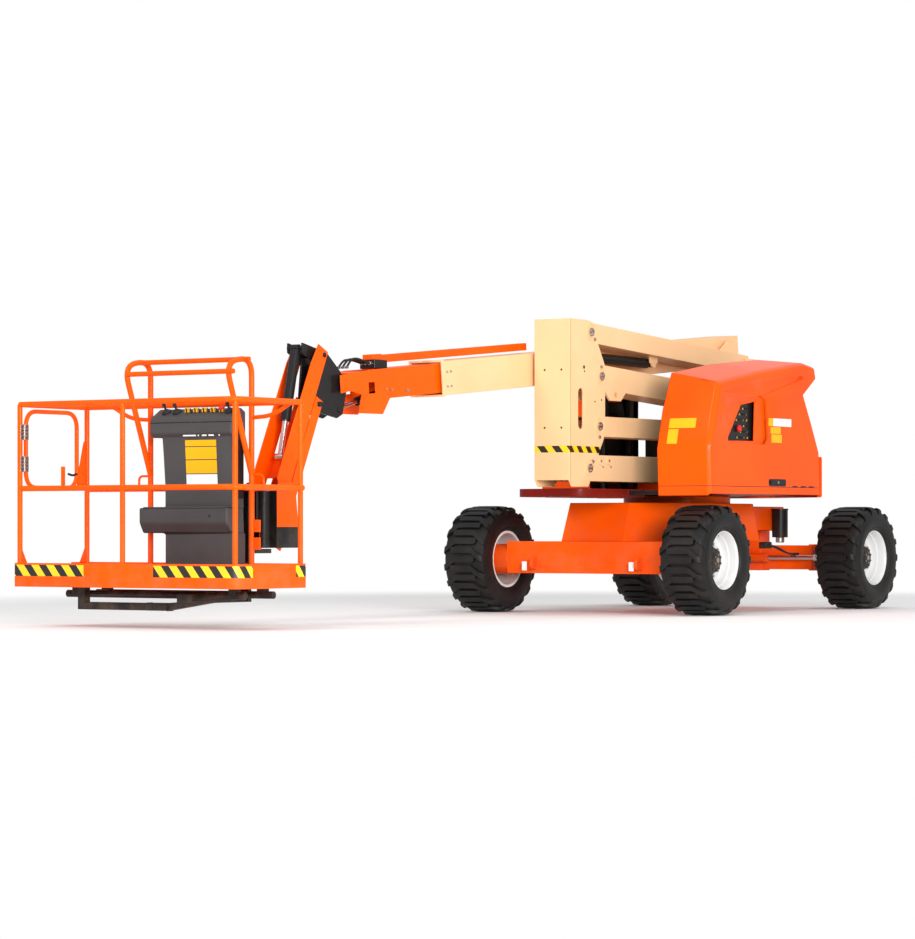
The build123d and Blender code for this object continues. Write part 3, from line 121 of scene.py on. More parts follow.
def white_sky(strength):
    node = wn.new("ShaderNodeBackground")
    node.inputs["Color"].default_value = (1, 1, 1, 1)
    node.inputs["Strength"].default_value = strength
    return node


sky = white_sky(0.64)
seen = white_sky(1.0)
path = wn.new("ShaderNodeLightPath")
either = wn.new("ShaderNodeMath")
either.operation = "MAXIMUM"
mix = wn.new("ShaderNodeMixShader")
out = wn.new("ShaderNodeOutputWorld")
wl.new(path.outputs["Is Camera Ray"], either.inputs[0])
wl.new(path.outputs["Is Transmission Ray"], either.inputs[1])
wl.new(either.outputs[0], mix.inputs[0])
wl.new(sky.outputs[0], mix.inputs[1])
wl.new(seen.outputs[0], mix.inputs[2])
wl.new(mix.outputs[0], out.inputs[0])

floor_mesh = bmesh.new()
bmesh.ops.create_grid(floor_mesh, x_segments=1, y_segments=1, size=60)
floor_data = bpy.data.meshes.new("floor")
floor_mesh.to_mesh(floor_data)
floor_mesh.free()
floor = add_to_scene("floor", floor_data)
print("lamps", len(bpy.data.lights), "world", sky.inputs["Strength"].default_value)

# %% [markdown]
# Finishes are trees of nodes. A few helpers take up what returns in each tree: a sum of two
# values, a noise, a soft step between two limits, and the place of a point on the machine.

# %% Helpers for node trees
def new_group(name, inputs, outputs):
    group = bpy.data.node_groups.new(name, "ShaderNodeTree")
    for socket, value in inputs:
        made = group.interface.new_socket(socket, in_out="INPUT", socket_type="NodeSocketFloat")
        made.default_value = value
    for socket, kind in outputs:
        group.interface.new_socket(socket, in_out="OUTPUT", socket_type=kind)
    start = group.nodes.new("NodeGroupInput")
    end = group.nodes.new("NodeGroupOutput")
    return group, start, end


def math_node(tree, operation, a, b=None, clamp=False):
    node = tree.nodes.new("ShaderNodeMath")
    node.operation = operation
    node.use_clamp = clamp
    for socket, value in zip(node.inputs, (a, b)):
        if value is None:
            continue
        if isinstance(value, (int, float)):
            socket.default_value = value
        else:
            tree.links.new(value, socket)
    return node.outputs[0]


def noise(tree, scale, detail=2.0, roughness=0.5, stretch=None):
    coords = tree.nodes.new("ShaderNodeTexCoord")
    node = tree.nodes.new("ShaderNodeTexNoise")
    node.inputs["Detail"].default_value = detail
    node.inputs["Roughness"].default_value = roughness
    source = coords.outputs["Object"]
    if stretch:
        mapping = tree.nodes.new("ShaderNodeMapping")
        mapping.inputs["Scale"].default_value = stretch
        tree.links.new(source, mapping.inputs["Vector"])
        source = mapping.outputs[0]
    tree.links.new(source, node.inputs["Vector"])
    if isinstance(scale, (int, float)):
        node.inputs["Scale"].default_value = scale
    else:
        tree.links.new(scale, node.inputs["Scale"])
    return node.outputs["Fac"]


def ramp(tree, source, low, high):
    node = tree.nodes.new("ShaderNodeMapRange")
    node.interpolation_type = "SMOOTHSTEP"
    node.inputs["From Min"].default_value = low
    node.inputs["From Max"].default_value = high
    tree.links.new(source, node.inputs["Value"])
    return node.outputs[0]


def place_axes(tree):
    """The sockets X, Y and Z of a point's place in its object."""
    place = tree.nodes.new("ShaderNodeTexCoord")
    split = tree.nodes.new("ShaderNodeSeparateXYZ")
    tree.links.new(place.outputs["Object"], split.inputs[0])
    return split.outputs


print("node groups before", len(bpy.data.node_groups))

# %% [markdown]
# Four effects return on many surfaces, so each is a node group that is built once: the soft
# mottling of sprayed paint, the rubbed edges where paint has worn, road dust that settles low
# down, and the fine grain of moulded plastic. A group puts out values only, and each material
# feeds them to its own shader.

# %% Node groups
mottle, mottle_in, mottle_out = new_group(
    "paint_mottle",
    [("Scale", 3.0), ("Peel", 900.0)],
    [("Tone", "NodeSocketFloat"), ("Height", "NodeSocketFloat")],
)
mottle.links.new(noise(mottle, mottle_in.outputs["Scale"], 3.0), mottle_out.inputs["Tone"])
mottle.links.new(noise(mottle, mottle_in.outputs["Peel"], 1.0), mottle_out.inputs["Height"])

edge_wear, edge_in, edge_out = new_group(
    "edge_wear", [("Amount", 0.5), ("Grain", 60.0)], [("Mask", "NodeSocketFloat")]
)
bevel = edge_wear.nodes.new("ShaderNodeBevel")
bevel.samples = 4
bevel.inputs["Radius"].default_value = 0.006
geometry = edge_wear.nodes.new("ShaderNodeNewGeometry")
bend = edge_wear.nodes.new("ShaderNodeVectorMath")
bend.operation = "DOT_PRODUCT"
edge_wear.links.new(bevel.outputs[0], bend.inputs[0])
edge_wear.links.new(geometry.outputs["Normal"], bend.inputs[1])
turn = math_node(edge_wear, "SUBTRACT", 1.0, bend.outputs["Value"])
turn = math_node(edge_wear, "MULTIPLY", turn, edge_in.outputs["Amount"])
patches = ramp(edge_wear, noise(edge_wear, edge_in.outputs["Grain"], 3.0), 0.5, 0.62)
rubbed = math_node(edge_wear, "MULTIPLY", turn, patches, clamp=True)
edge_wear.links.new(rubbed, edge_out.inputs["Mask"])

dust, dust_in, dust_out = new_group(
    "road_dust", [("Top", 0.9), ("Amount", 0.3)], [("Mask", "NodeSocketFloat")]
)
low = math_node(dust, "DIVIDE", place_axes(dust)["Z"], dust_in.outputs["Top"])
low = math_node(dust, "SUBTRACT", 1.0, low, clamp=True)
blotch = ramp(dust, noise(dust, 7.0, 5.0, 0.6), 0.35, 0.7)
fall = math_node(dust, "MULTIPLY", low, blotch)
dust.links.new(math_node(dust, "MULTIPLY", fall, dust_in.outputs["Amount"]), dust_out.inputs["Mask"])

grain, grain_in, grain_out = new_group(
    "moulded_grain", [("Scale", 700.0)], [("Height", "NodeSocketFloat")]
)
cells = grain.nodes.new("ShaderNodeTexVoronoi")
grain_place = grain.nodes.new("ShaderNodeTexCoord")
grain.links.new(grain_place.outputs["Object"], cells.inputs["Vector"])
grain.links.new(grain_in.outputs["Scale"], cells.inputs["Scale"])
grain.links.new(cells.outputs["Distance"], grain_out.inputs["Height"])
print("node groups", [g.name for g in bpy.data.node_groups])

# %% [markdown]
# The finishes. Sprayed paint has a clear coat, a faint orange peel and a slow change of tone, and
# it shows bare primer where an edge is rubbed. Rubber is dull and dusty low down. The
# machine is nearly new, so wear and dust stay light.

# %% Material builders
def colour(red, green, blue):
    """A colour picked in sRGB bytes, as the linear values that a shader wants."""
    linear = []
    for byte in (red, green, blue):
        c = byte / 255
        linear.append(c / 12.92 if c <= 0.04045 else ((c + 0.055) / 1.055) ** 2.4)
    return (*linear, 1)


def start_material(name):
    material = bpy.data.materials.new(name)
    material.use_nodes = True
    tree = material.node_tree
    return material, tree, tree.nodes["Principled BSDF"]


def use_group(tree, group, **values):
    node = tree.nodes.new("ShaderNodeGroup")
    node.node_tree = group
    for socket, value in values.items():
        node.inputs[socket].default_value = value
    return node


def blend_colours(tree, mask, first, second):
    node = tree.nodes.new("ShaderNodeMix")
    node.data_type = "RGBA"
    for socket, value in ((0, mask), (6, first), (7, second)):
        if isinstance(value, tuple):
            node.inputs[socket].default_value = value
        else:
            tree.links.new(value, node.inputs[socket])
    return node.outputs[2]


def add_bump(tree, shader, height, strength, distance):
    node = tree.nodes.new("ShaderNodeBump")
    node.inputs["Strength"].default_value = strength
    node.inputs["Distance"].default_value = distance
    tree.links.new(height, node.inputs["Height"])
    tree.links.new(node.outputs[0], shader.inputs["Normal"])


def spread_roughness(tree, shader, mask, amount, base):
    """A roughness that rises from its base where a mask is light."""
    rough = math_node(tree, "MULTIPLY", mask, amount)
    tree.links.new(math_node(tree, "ADD", rough, base), shader.inputs["Roughness"])


def paint(name, base, deep, roughness=0.32, coat=0.6, wear=0.5, dirt=0.25):
    """Sprayed enamel with mottling, rubbed edges and dust low down."""
    material, tree, shader = start_material(name)
    tone = use_group(tree, mottle, Scale=1.6, Peel=420.0)
    rub = use_group(tree, edge_wear, Amount=wear)
    dirt_mask = use_group(tree, dust, Top=0.9, Amount=dirt)
    shade = blend_colours(tree, ramp(tree, tone.outputs["Tone"], 0.3, 0.75), base, deep)
    shade = blend_colours(tree, rub.outputs[0], shade, colour(150, 140, 128))
    shade = blend_colours(tree, dirt_mask.outputs[0], shade, colour(150, 128, 104))
    tree.links.new(shade, shader.inputs["Base Color"])
    spread_roughness(tree, shader, dirt_mask.outputs[0], 0.6, roughness)
    shader.inputs["Coat Weight"].default_value = coat
    shader.inputs["Coat Roughness"].default_value = 0.12
    shader.inputs["Specular IOR Level"].default_value = 0.1
    add_bump(tree, shader, tone.outputs["Height"], 0.06, 0.0006)
    return material


def metal(name, base, roughness, dirt=0.15):
    """Bare or plated metal with fine brushing and a little dust."""
    material, tree, shader = start_material(name)
    lines = noise(tree, 30.0, 3.0, 0.6, stretch=(1, 14, 1))
    dirt_mask = use_group(tree, dust, Top=1.2, Amount=dirt)
    shade = blend_colours(tree, dirt_mask.outputs[0], base, colour(120, 104, 86))
    tree.links.new(shade, shader.inputs["Base Color"])
    spread_roughness(tree, shader, lines, 0.18, roughness)
    shader.inputs["Metallic"].default_value = 1.0
    add_bump(tree, shader, lines, 0.05, 0.0005)
    return material


def moulded(name, base, roughness, scale=700.0, depth=0.25, dirt=0.1):
    """Moulded plastic or rubber: grained, slightly uneven in tone, dusty low down."""
    material, tree, shader = start_material(name)
    skin = use_group(tree, grain, Scale=scale)
    tone = use_group(tree, mottle, Scale=4.0, Peel=120.0)
    dirt_mask = use_group(tree, dust, Top=1.0, Amount=dirt)
    lighter = tuple(min(1.0, c * 1.35 + 0.004) for c in base[:3]) + (1,)
    shade = blend_colours(tree, tone.outputs["Tone"], base, lighter)
    shade = blend_colours(tree, dirt_mask.outputs[0], shade, colour(128, 112, 92))
    tree.links.new(shade, shader.inputs["Base Color"])
    spread_roughness(tree, shader, tone.outputs["Tone"], 0.12, roughness)
    shader.inputs["Specular IOR Level"].default_value = 0.3
    add_bump(tree, shader, skin.outputs["Height"], depth, 0.0008)
    return material


print("a middle grey as linear values", colour(128, 128, 128))

# %% [markdown]
# The machine's own finishes: two oranges, of which the hoods' is the glossier, cream on the arms
# and the boom, black on the castings, silver rims, and bare or plated metal on what slides. One
# dark red is not a finish of the machine: it is painted shade for orange faces that lie in shadow.

# %% Finishes of this machine
ORANGE = paint("orange_paint", colour(254, 90, 0), colour(248, 80, 0), coat=0.05)
HOOD_ORANGE = paint(
    "hood_orange", colour(254, 86, 0), colour(250, 77, 0), roughness=0.26, coat=0.12, wear=0.1
)
CREAM = paint("cream_paint", colour(244, 196, 148), colour(239, 188, 139), roughness=0.36, coat=0.1)
BLACK = paint("black_paint", colour(30, 29, 29), colour(22, 21, 21), roughness=0.42, coat=0.3)
# A dark red that is painted shade: orange faces at the tail under the hood, and under the upright, take it
# in place of their shadow.
PAINTED_SHADE_RED = paint("painted_shade_red", colour(120, 22, 10), colour(104, 18, 8), roughness=0.5, coat=0.1)
SILVER = paint(
    "rim_silver", colour(226, 226, 225), colour(212, 212, 211), roughness=0.3, coat=0.5, wear=0.2, dirt=0.1
)
STEEL = metal("zinc_steel", colour(176, 172, 164), 0.34)
CHROME = metal("rod_chrome", colour(222, 222, 220), 0.08, dirt=0.02)
DARK_STEEL = metal("dark_steel", colour(88, 84, 80), 0.42)
RUBBER = moulded("tyre_rubber", colour(7, 7, 8), 0.46, scale=260.0, depth=0.15, dirt=0.06)
HOSE = moulded("hose_rubber", colour(20, 20, 21), 0.45, scale=900.0, depth=0.1, dirt=0.0)
GREY = moulded("console_grey", colour(62, 60, 61), 0.5)
DARK = moulded("dark_plastic", colour(26, 26, 27), 0.5)
CAST = moulded("counterweight_paint", colour(34, 34, 34), 0.6, scale=180.0, depth=0.3)
YELLOW = paint("yellow_plate", colour(240, 180, 28), colour(234, 172, 22), coat=0.1, wear=0.0, dirt=0.0)
WHITE = paint("white_plate", colour(238, 238, 236), colour(228, 228, 226), wear=0.0, dirt=0.0)
RED = moulded("red_button", colour(196, 24, 18), 0.35, depth=0.05, dirt=0.0)
print("finishes", len(bpy.data.materials))

# %% [markdown]
# Each solid of the frame takes its finish here. The solids keep their shapes: only what lies in
# their material slots changes.

# %% Finish of each solid
finishes = {
    "orange": ORANGE,
    "hood_orange": HOOD_ORANGE,
    "cream": CREAM,
    "black": BLACK,
    "rim_silver": SILVER,
    "tyre": RUBBER,
    "cast": CAST,
    "rod_chrome": CHROME,
    "dark_plastic": GREY,
    "engine_grey": DARK_STEEL,
}
for part in frame["record"]["subparts"]:
    thing = nodes[part["node"]]
    thing.data.materials.clear()
    thing.data.materials.append(finishes[part["material_slot"]])
print(len(nodes), "solids have a finish")

# %% [markdown]
# Hazard tape runs round the platform's kick plate and across the upright. Its slanting bars are
# worked out from the place on the machine, so they run on round a corner, and the tape needs no
# image: a sum of the three directions counts up along the tape, and every second half is black.

# %% Hazard tape
TAPE_PITCH = 0.13


def hazard_tape():
    material, tree, shader = start_material("hazard_tape")
    axes = place_axes(tree)
    along = math_node(tree, "SUBTRACT", axes["Y"], axes["X"])
    rise = math_node(tree, "MULTIPLY", axes["Z"], 0.8)
    along = math_node(tree, "ADD", along, rise)
    along = math_node(tree, "FRACT", math_node(tree, "DIVIDE", along, TAPE_PITCH))
    bars = math_node(tree, "GREATER_THAN", along, 0.5)
    tone = use_group(tree, mottle, Scale=9.0, Peel=300.0)
    yellow = blend_colours(tree, tone.outputs["Tone"], colour(252, 208, 30), colour(244, 190, 20))
    shade = blend_colours(tree, bars, yellow, colour(28, 26, 24))
    tree.links.new(shade, shader.inputs["Base Color"])
    spread_roughness(tree, shader, tone.outputs["Tone"], 0.2, 0.3)
    return material


TAPE = hazard_tape()
print("tape pitch", TAPE_PITCH)

# %% [markdown]
# These helpers make most of the pieces. One gathers a bmesh into a finished piece that rides on a
# body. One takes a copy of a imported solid, joins its loose triangles, and softens every crisp edge
# by a few millimetres, because sheet steel and castings never have knife edges, and a softened
# edge catches the light. Others add discs, blocks and bolts, or sweep a round tube along points.

# %% Helpers for pieces
body_of = {}
for body, members in frame["record"]["behaviour"]["bodies"].items():
    for member in members:
        body_of[member] = body

Y_AXIS = Vector((0, 1, 0))
WELD_DIST = 0.00002
CRISP_ANGLE = math.radians(28)


def soften_edges(shape, edges, width, segments=2):
    """Round some edges of a bmesh off by a width, and return the faces that this makes."""
    return bmesh.ops.bevel(
        shape,
        geom=list(edges),
        offset=width,
        offset_type="OFFSET",
        segments=segments,
        profile=0.5,
        affect="EDGES",
        material=-1,
    )["faces"]


def still_there(verts, faces):
    """The verts that a cut has left, with those of the faces that it made."""
    return list({v for v in verts if v.is_valid} | {v for f in faces for v in f.verts})


def colour_around(verts, material):
    for face in {f for v in verts for f in v.link_faces}:
        face.material_index = material


def moved_verts(grown):
    return [item for item in grown["geom"] if isinstance(item, bmesh.types.BMVert)]


def finish_piece(name, shape, material, body, replaces=(), smooth=45):
    """Turn a bmesh into a piece that rides on a body; flat parts keep flat shading."""
    data = bpy.data.meshes.new(name)
    shape.to_mesh(data)
    shape.free()
    for face in data.polygons:
        face.use_smooth = True
    data.set_sharp_from_angle(angle=math.radians(smooth))
    piece = add_to_scene(name, data)
    for finish in material if isinstance(material, (list, tuple)) else (material,):
        data.materials.append(finish)
    weighted = piece.modifiers.new("weighted", "WEIGHTED_NORMAL")
    weighted.keep_sharp = True
    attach(piece, body)
    if replaces:
        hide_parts(*replaces)
    return piece


def softened(node, width=0.003, segments=2):
    """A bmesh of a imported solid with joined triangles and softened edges."""
    shape = bmesh.new()
    shape.from_mesh(nodes[node].data)
    bmesh.ops.remove_doubles(shape, verts=shape.verts, dist=WELD_DIST)
    bmesh.ops.dissolve_limit(
        shape, angle_limit=math.radians(0.6), verts=shape.verts, edges=shape.edges
    )
    crisp = [
        edge
        for edge in shape.edges
        if edge.is_manifold
        and edge.calc_face_angle() > CRISP_ANGLE
        and edge.calc_length() > 2.4 * width
    ]
    soften_edges(shape, crisp, width, segments)
    return shape


def stand_in(name, node, shape, material, smooth=45):
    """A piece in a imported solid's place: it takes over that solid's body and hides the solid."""
    return finish_piece(name, shape, material, body_of[node], (node,), smooth)


def dress(node, material, width=0.003):
    """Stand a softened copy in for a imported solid, with the same name ending."""
    stand_in(f"{node}_dressed", node, softened(node, width), material)


# %% [markdown]
# Bosses, bolts and blocks start as a primitive whose edges are softened before it is turned into
# its place. A bent tube is a row of circles, each square to the way the tube goes, that are joined
# one to the next. Its line comes from a few corners, each rounded to the bending radius.

# %% Discs, blocks and tubes
def frame_to(direction):
    """The turn that takes +Z to a direction."""
    return Vector(direction).to_track_quat("Z", "Y").to_matrix().to_4x4()


def add_disc(shape, centre, direction, radius, depth, segments=24, chamfer=0.0, material=0, top=None):
    """A turned boss, bolt or washer: a cylinder on a face, softened at its outer edge."""
    made = bmesh.ops.create_cone(
        shape,
        cap_ends=True,
        segments=segments,
        radius1=radius,
        radius2=radius if top is None else top,
        depth=depth,
    )["verts"]
    ends = [e for v in made for e in v.link_edges if v.co.z > 0 and e.other_vert(v).co.z > 0]
    bmesh.ops.translate(shape, verts=made, vec=(0, 0, depth / 2))
    if chamfer:
        made = still_there(made, soften_edges(shape, set(ends), chamfer))
    matrix = Matrix.Translation(Vector(centre)) @ frame_to(direction)
    bmesh.ops.transform(shape, matrix=matrix, verts=made)
    colour_around(made, material)


def add_block(shape, low, high, chamfer=0.002, material=0, segments=2):
    """A plate or block between two corners, with softened edges."""
    made = bmesh.ops.create_cube(shape, size=1)["verts"]
    size = [abs(b - a) for a, b in zip(low, high)]
    bmesh.ops.scale(shape, verts=made, vec=size)
    bmesh.ops.translate(shape, verts=made, vec=[(a + b) / 2 for a, b in zip(low, high)])
    edges = {e for v in made for e in v.link_edges}
    colour_around(still_there(made, soften_edges(shape, edges, chamfer, segments)), material)


def add_bolt(shape, centre, direction, size=0.012, material=0):
    """A hexagon bolt head on a washer."""
    direction = Vector(direction).normalized()
    centre = Vector(centre)
    head = centre + direction * size * 0.2
    add_disc(shape, centre, direction, size * 1.1, size * 0.22, 20, material=material)
    add_disc(shape, head, direction, size * 0.85, size * 0.7, 6, size * 0.1, material)


def rounded_path(points, radius, steps=6):
    """Points along a line whose corners are turned to a radius, as a bent tube's are."""
    points = [Vector(point) for point in points]
    line = [points[0]]
    for before, corner, after in zip(points, points[1:], points[2:]):
        arriving = (corner - before).normalized()
        leaving = (after - corner).normalized()
        turn = arriving.angle(leaving)
        if turn < 0.02:
            line.append(corner)
            continue
        shorter = min((corner - before).length, (after - corner).length)
        setback = min(radius * math.tan(turn / 2), shorter * 0.49)
        start, end = corner - arriving * setback, corner + leaving * setback
        for step in range(steps + 1):
            t = step / steps
            line.append(start * (1 - t) ** 2 + corner * 2 * t * (1 - t) + end * t**2)
    return line + [points[-1]]


def add_tube(shape, line, radius, segments=14, closed=False, material=0):
    """A round tube along a line of points, each ring square to the way the tube goes."""
    line = [Vector(point) for point in line]
    rings = []
    count = len(line)
    side = None
    for i, point in enumerate(line):
        ahead = line[(i + 1) % count] if closed or i + 1 < count else point
        behind = line[i - 1] if closed or i > 0 else point
        heading = (ahead - behind).normalized()
        if side is None:
            side = heading.orthogonal().normalized()
        side = (side - heading * side.dot(heading)).normalized()
        up = heading.cross(side)
        ring = bmesh.ops.create_circle(shape, segments=segments, radius=radius)["verts"]
        turn = Matrix((side, up, heading)).transposed().to_4x4()
        rings.append(list({edge for vert in ring for edge in vert.link_edges}))
        bmesh.ops.transform(shape, matrix=Matrix.Translation(point) @ turn, verts=ring)
    pairs = list(zip(rings, rings[1:])) + ([(rings[-1], rings[0])] if closed else [])
    faces = []
    for first, second in pairs:
        faces += bmesh.ops.bridge_loops(shape, edges=first + second)["faces"]
    if not closed:
        for ring in (rings[0], rings[-1]):
            faces += bmesh.ops.contextual_create(shape, geom=ring)["faces"]
    for face in faces:
        face.material_index = material
    bmesh.ops.recalc_face_normals(shape, faces=faces)


bend_points = rounded_path([(0, 0, 0), (1, 0, 0), (1, 1, 0)], 0.1)
print("a bend takes", len(bend_points) - 2, "points")

# %% [markdown]
# Plates need two more helpers: one turns the corners of an outline to a radius, and one raises a
# plate from an outline and softens its edges. A third cuts a bmesh along flat planes and paints
# the faces between them, as a painter masks off a band.

# %% Plates and bands
PLATE_SOFTENING = 0.0012


def rounded_outline(points, radius, steps=4):
    """A closed outline with its corners turned to a radius."""
    count = len(points)
    outline = []
    for i in range(count):
        before, corner, after = (Vector((*points[(i + j) % count], 0)) for j in (-1, 0, 1))
        outline += [(p.x, p.y) for p in rounded_path([before, corner, after], radius, steps)[1:-1]]
    return outline


def on_axis(axis, a, b, through):
    """A point of a plate: a and b in its plane, and how far it lies along its axis."""
    return {"x": (through, a, b), "y": (a, through, b), "z": (a, b, through)}[axis]


def add_plate(shape, outline, low, high, axis="y", material=0):
    """A plate raised from an outline along an axis, with softened rims."""
    ring = [shape.verts.new(on_axis(axis, a, b, low)) for a, b in outline]
    face = shape.faces.new(ring)
    top = moved_verts(bmesh.ops.extrude_face_region(shape, geom=[face]))
    bmesh.ops.translate(shape, verts=top, vec=on_axis(axis, 0, 0, high - low))
    verts = ring + top
    colour_around(verts, material)
    faces = list({f for v in verts for f in v.link_faces})
    bmesh.ops.recalc_face_normals(shape, faces=faces)
    rims = {e for f in faces if len(f.verts) == len(ring) for e in f.edges}
    soften_edges(shape, rims, PLATE_SOFTENING, 1)


def add_panel(shape, u0, u1, v0, v1, low, high, axis="y", corner=0.004, material=0):
    """A flat panel or plate with rounded corners."""
    outline = rounded_outline([(u0, v0), (u1, v0), (u1, v1), (u0, v1)], corner, 3)
    add_plate(shape, outline, low, high, axis, material)


def cut_at(shape, axis, values):
    """Cut a bmesh along planes square to an axis."""
    normal = {"x": (1, 0, 0), "y": (0, 1, 0), "z": (0, 0, 1)}[axis]
    for value in values:
        geom = list(shape.verts) + list(shape.edges) + list(shape.faces)
        place = [value * n for n in normal]
        bmesh.ops.bisect_plane(shape, geom=geom, dist=0.00001, plane_co=place, plane_no=normal)


def paint_faces(shape, material, wanted):
    """Give a material slot to the faces for which a test of centre and normal holds."""
    shape.faces.ensure_lookup_table()
    count = 0
    for face in shape.faces:
        if wanted(face.calc_center_median(), face.normal):
            face.material_index = material
            count += 1
    return count


print("a rounded square has", len(rounded_outline([(0, 0), (1, 0), (1, 1), (0, 1)], 0.1)), "points")

# %% [markdown]
# The tyres are rough-terrain tyres. Each lug is a bar that lies across most of the crown, slants
# back on one side and folds down over that shoulder, and the bars of the two sides interlock. Two
# lists hold their form: the stations along a lug, and the outline of the carcass.

# %% Tyre sizes
WHEEL_X = 1.275
WHEEL_Y = 0.973
WHEEL_R = 0.419
LUGS = 18
LUG_HALF_W = 0.0245
LUG_DEPTH = 0.030
CARCASS_R = 0.4
FOOT_NARROWING = 0.965
TYRE_STEPS = 80
# Along a lug: the place across the tread, the slant back, and the radius
LUG_STATIONS = (
    (-0.112, 0.000, 0.4180),
    (-0.100, 0.000, 0.4184),
    (-0.050, 0.000, 0.4188),
    (0.000, 0.000, 0.4189),
    (0.050, 0.000, 0.4188),
    (0.078, 0.002, 0.4185),
    (0.110, 0.026, 0.4176),
    (0.145, 0.052, 0.4158),
    (0.162, 0.062, 0.4118),
    (0.180, 0.067, 0.3960),
    (0.1885, 0.069, 0.3640),
)

TYRE_OUTLINE = (
    (-0.158, 0.2125),
    (-0.158, 0.2245),
    (-0.176, 0.236),
    (-0.181, 0.246),
    (-0.1795, 0.252),
    (-0.188, 0.262),
    (-0.1945, 0.296),
    (-0.1935, 0.330),
    (-0.1885, 0.336),
    (-0.1865, 0.352),
    (-0.176, 0.380),
    (-0.150, 0.3925),
    (-0.080, 0.3965),
)
print("lug stations", len(LUG_STATIONS), "and outline points", len(TYRE_OUTLINE))

# %% [markdown]
# The carcass is its outline, spun round the axle. A lug starts as a narrow grid that is laid along
# its stations, pulled down into a block and softened. Its mirror image stands half a step further
# on, and the two are then copied round the wheel. The four tyres have the same form.

# %% Tyres
def spin_outline(shape, outline, steps, material=0):
    """Spin an outline of (y, radius) points once round the wheel's axis."""
    verts = [shape.verts.new((0, y, radius)) for y, radius in outline]
    edges = [shape.edges.new(pair) for pair in zip(verts, verts[1:])]
    before = set(shape.faces)
    bmesh.ops.spin(
        shape,
        geom=verts + edges,
        cent=(0, 0, 0),
        axis=(0, 1, 0),
        angle=math.tau,
        steps=steps,
        use_merge=True,
    )
    for face in shape.faces:
        if face not in before:
            face.material_index = material


def add_lug(shape):
    """One lug, laid along its stations and pulled down into the carcass."""
    last = len(LUG_STATIONS) - 1
    made = bmesh.ops.create_grid(shape, x_segments=2, y_segments=last, size=1)["verts"]
    for vert in made:
        across = vert.co.x
        y, slant, radius = LUG_STATIONS[round((vert.co.y + 1) * last / 2)]
        corner = 0.5 if across > 0 and y < -0.11 else 1
        s = across * LUG_HALF_W * corner + slant
        vert.co = Vector((s, y, math.sqrt(radius**2 - s**2)))
    top = list({face for vert in made for face in vert.link_faces})
    foot = moved_verts(bmesh.ops.extrude_face_region(shape, geom=top))
    low = 1 - LUG_DEPTH / CARCASS_R
    for vert in foot:
        narrowing = FOOT_NARROWING if vert.co.y > 0.15 else 1
        vert.co = Vector((vert.co.x * low, vert.co.y * narrowing, vert.co.z * low))
    verts = made + foot
    edges = {e for v in verts for e in v.link_edges if e.is_manifold and e.calc_face_angle() > 0.8}
    return still_there(verts, soften_edges(shape, edges, 0.003))


def tyre_shape():
    shape = bmesh.new()
    whole = list(TYRE_OUTLINE) + [(-y, radius) for y, radius in reversed(TYRE_OUTLINE)]
    spin_outline(shape, whole, TYRE_STEPS)
    right = add_lug(shape)
    edges = {e for v in right for e in v.link_edges}
    geom = right + list(edges | {f for v in right for f in v.link_faces})
    copy = bmesh.ops.duplicate(shape, geom=geom)
    left = moved_verts(copy)
    bmesh.ops.scale(shape, verts=left, vec=(1, -1, 1))
    half_pitch = Matrix.Rotation(math.pi / LUGS, 3, "Y")
    bmesh.ops.rotate(shape, cent=(0, 0, 0), matrix=half_pitch, verts=left)
    geom += copy["geom"]
    for step in range(1, LUGS):
        verts = moved_verts(bmesh.ops.duplicate(shape, geom=geom))
        turn = Matrix.Rotation(math.tau * step / LUGS, 3, "Y")
        bmesh.ops.rotate(shape, cent=(0, 0, 0), matrix=turn, verts=verts)
    bmesh.ops.recalc_face_normals(shape, faces=shape.faces)
    return shape


wheels = {
    f"{end}_{hand}": (x, side * WHEEL_Y, side)
    for end, x in (("drive", WHEEL_X), ("steer", -WHEEL_X))
    for hand, side in (("left", 1), ("right", -1))
}
for wheel, (x, y, side) in wheels.items():
    shape = tyre_shape()
    bmesh.ops.translate(shape, vec=(x, y, WHEEL_R), verts=shape.verts)
    tyre = stand_in(f"tyre_{wheel}_tread", f"tyre_{wheel}", shape, RUBBER, 40)
print("tyre", len(tyre.data.polygons), "faces each")

# %% [markdown]
# The wheels are pressed steel, sprayed silver: a deep dish with a bright rolled lip and a stepped
# disc. The hub in the middle is black, with rings of bolts. Like the tyre, each is one outline spun
# round the axle, and the bolts are turned discs placed by their angle.

# %% Rims and hubs
RIM_OUTLINE = (
    (-0.1635, 0.204),
    (-0.1635, 0.2235),
    (-0.158, 0.2238),
    (-0.158, 0.2122),
    (0.158, 0.2122),
    (0.158, 0.2236),
    (0.1605, 0.2238),
    (0.1638, 0.222),
    (0.1638, 0.2185),
    (0.160, 0.214),
    (0.146, 0.2055),
    (0.120, 0.2035),
    (0.100, 0.1985),
    (0.092, 0.190),
    (0.062, 0.1865),
    (0.048, 0.180),
    (0.044, 0.168),
    (0.044, 0.152),
    (0.050, 0.142),
    (0.052, 0.128),
    (0.044, 0.118),
    (0.044, 0.100),
    (0.030, 0.100),
    (0.030, 0.170),
    (0.050, 0.196),
    (-0.120, 0.2010),
    (-0.1635, 0.204),
)
HUB_OUTLINE = (
    (0.040, 0.108),
    (0.052, 0.108),
    (0.057, 0.103),
    (0.060, 0.094),
    (0.082, 0.090),
    (0.090, 0.082),
    (0.092, 0.062),
    (0.101, 0.058),
    (0.1055, 0.050),
    (0.1055, 0.0),
)
# Rings of bolt heads: how many, the ring's radius, their place across, their size and finish
HUB_BOLTS = (
    (9, 0.122, 0.0515, 0.0125, 2),
    (10, 0.076, 0.0905, 0.008, 1),
    (5, 0.042, 0.1050, 0.006, 2),
)
VALVE_LINE = ((0.0, 0.078, 0.193), (0.0, 0.100, 0.190), (0.0, 0.118, 0.186))


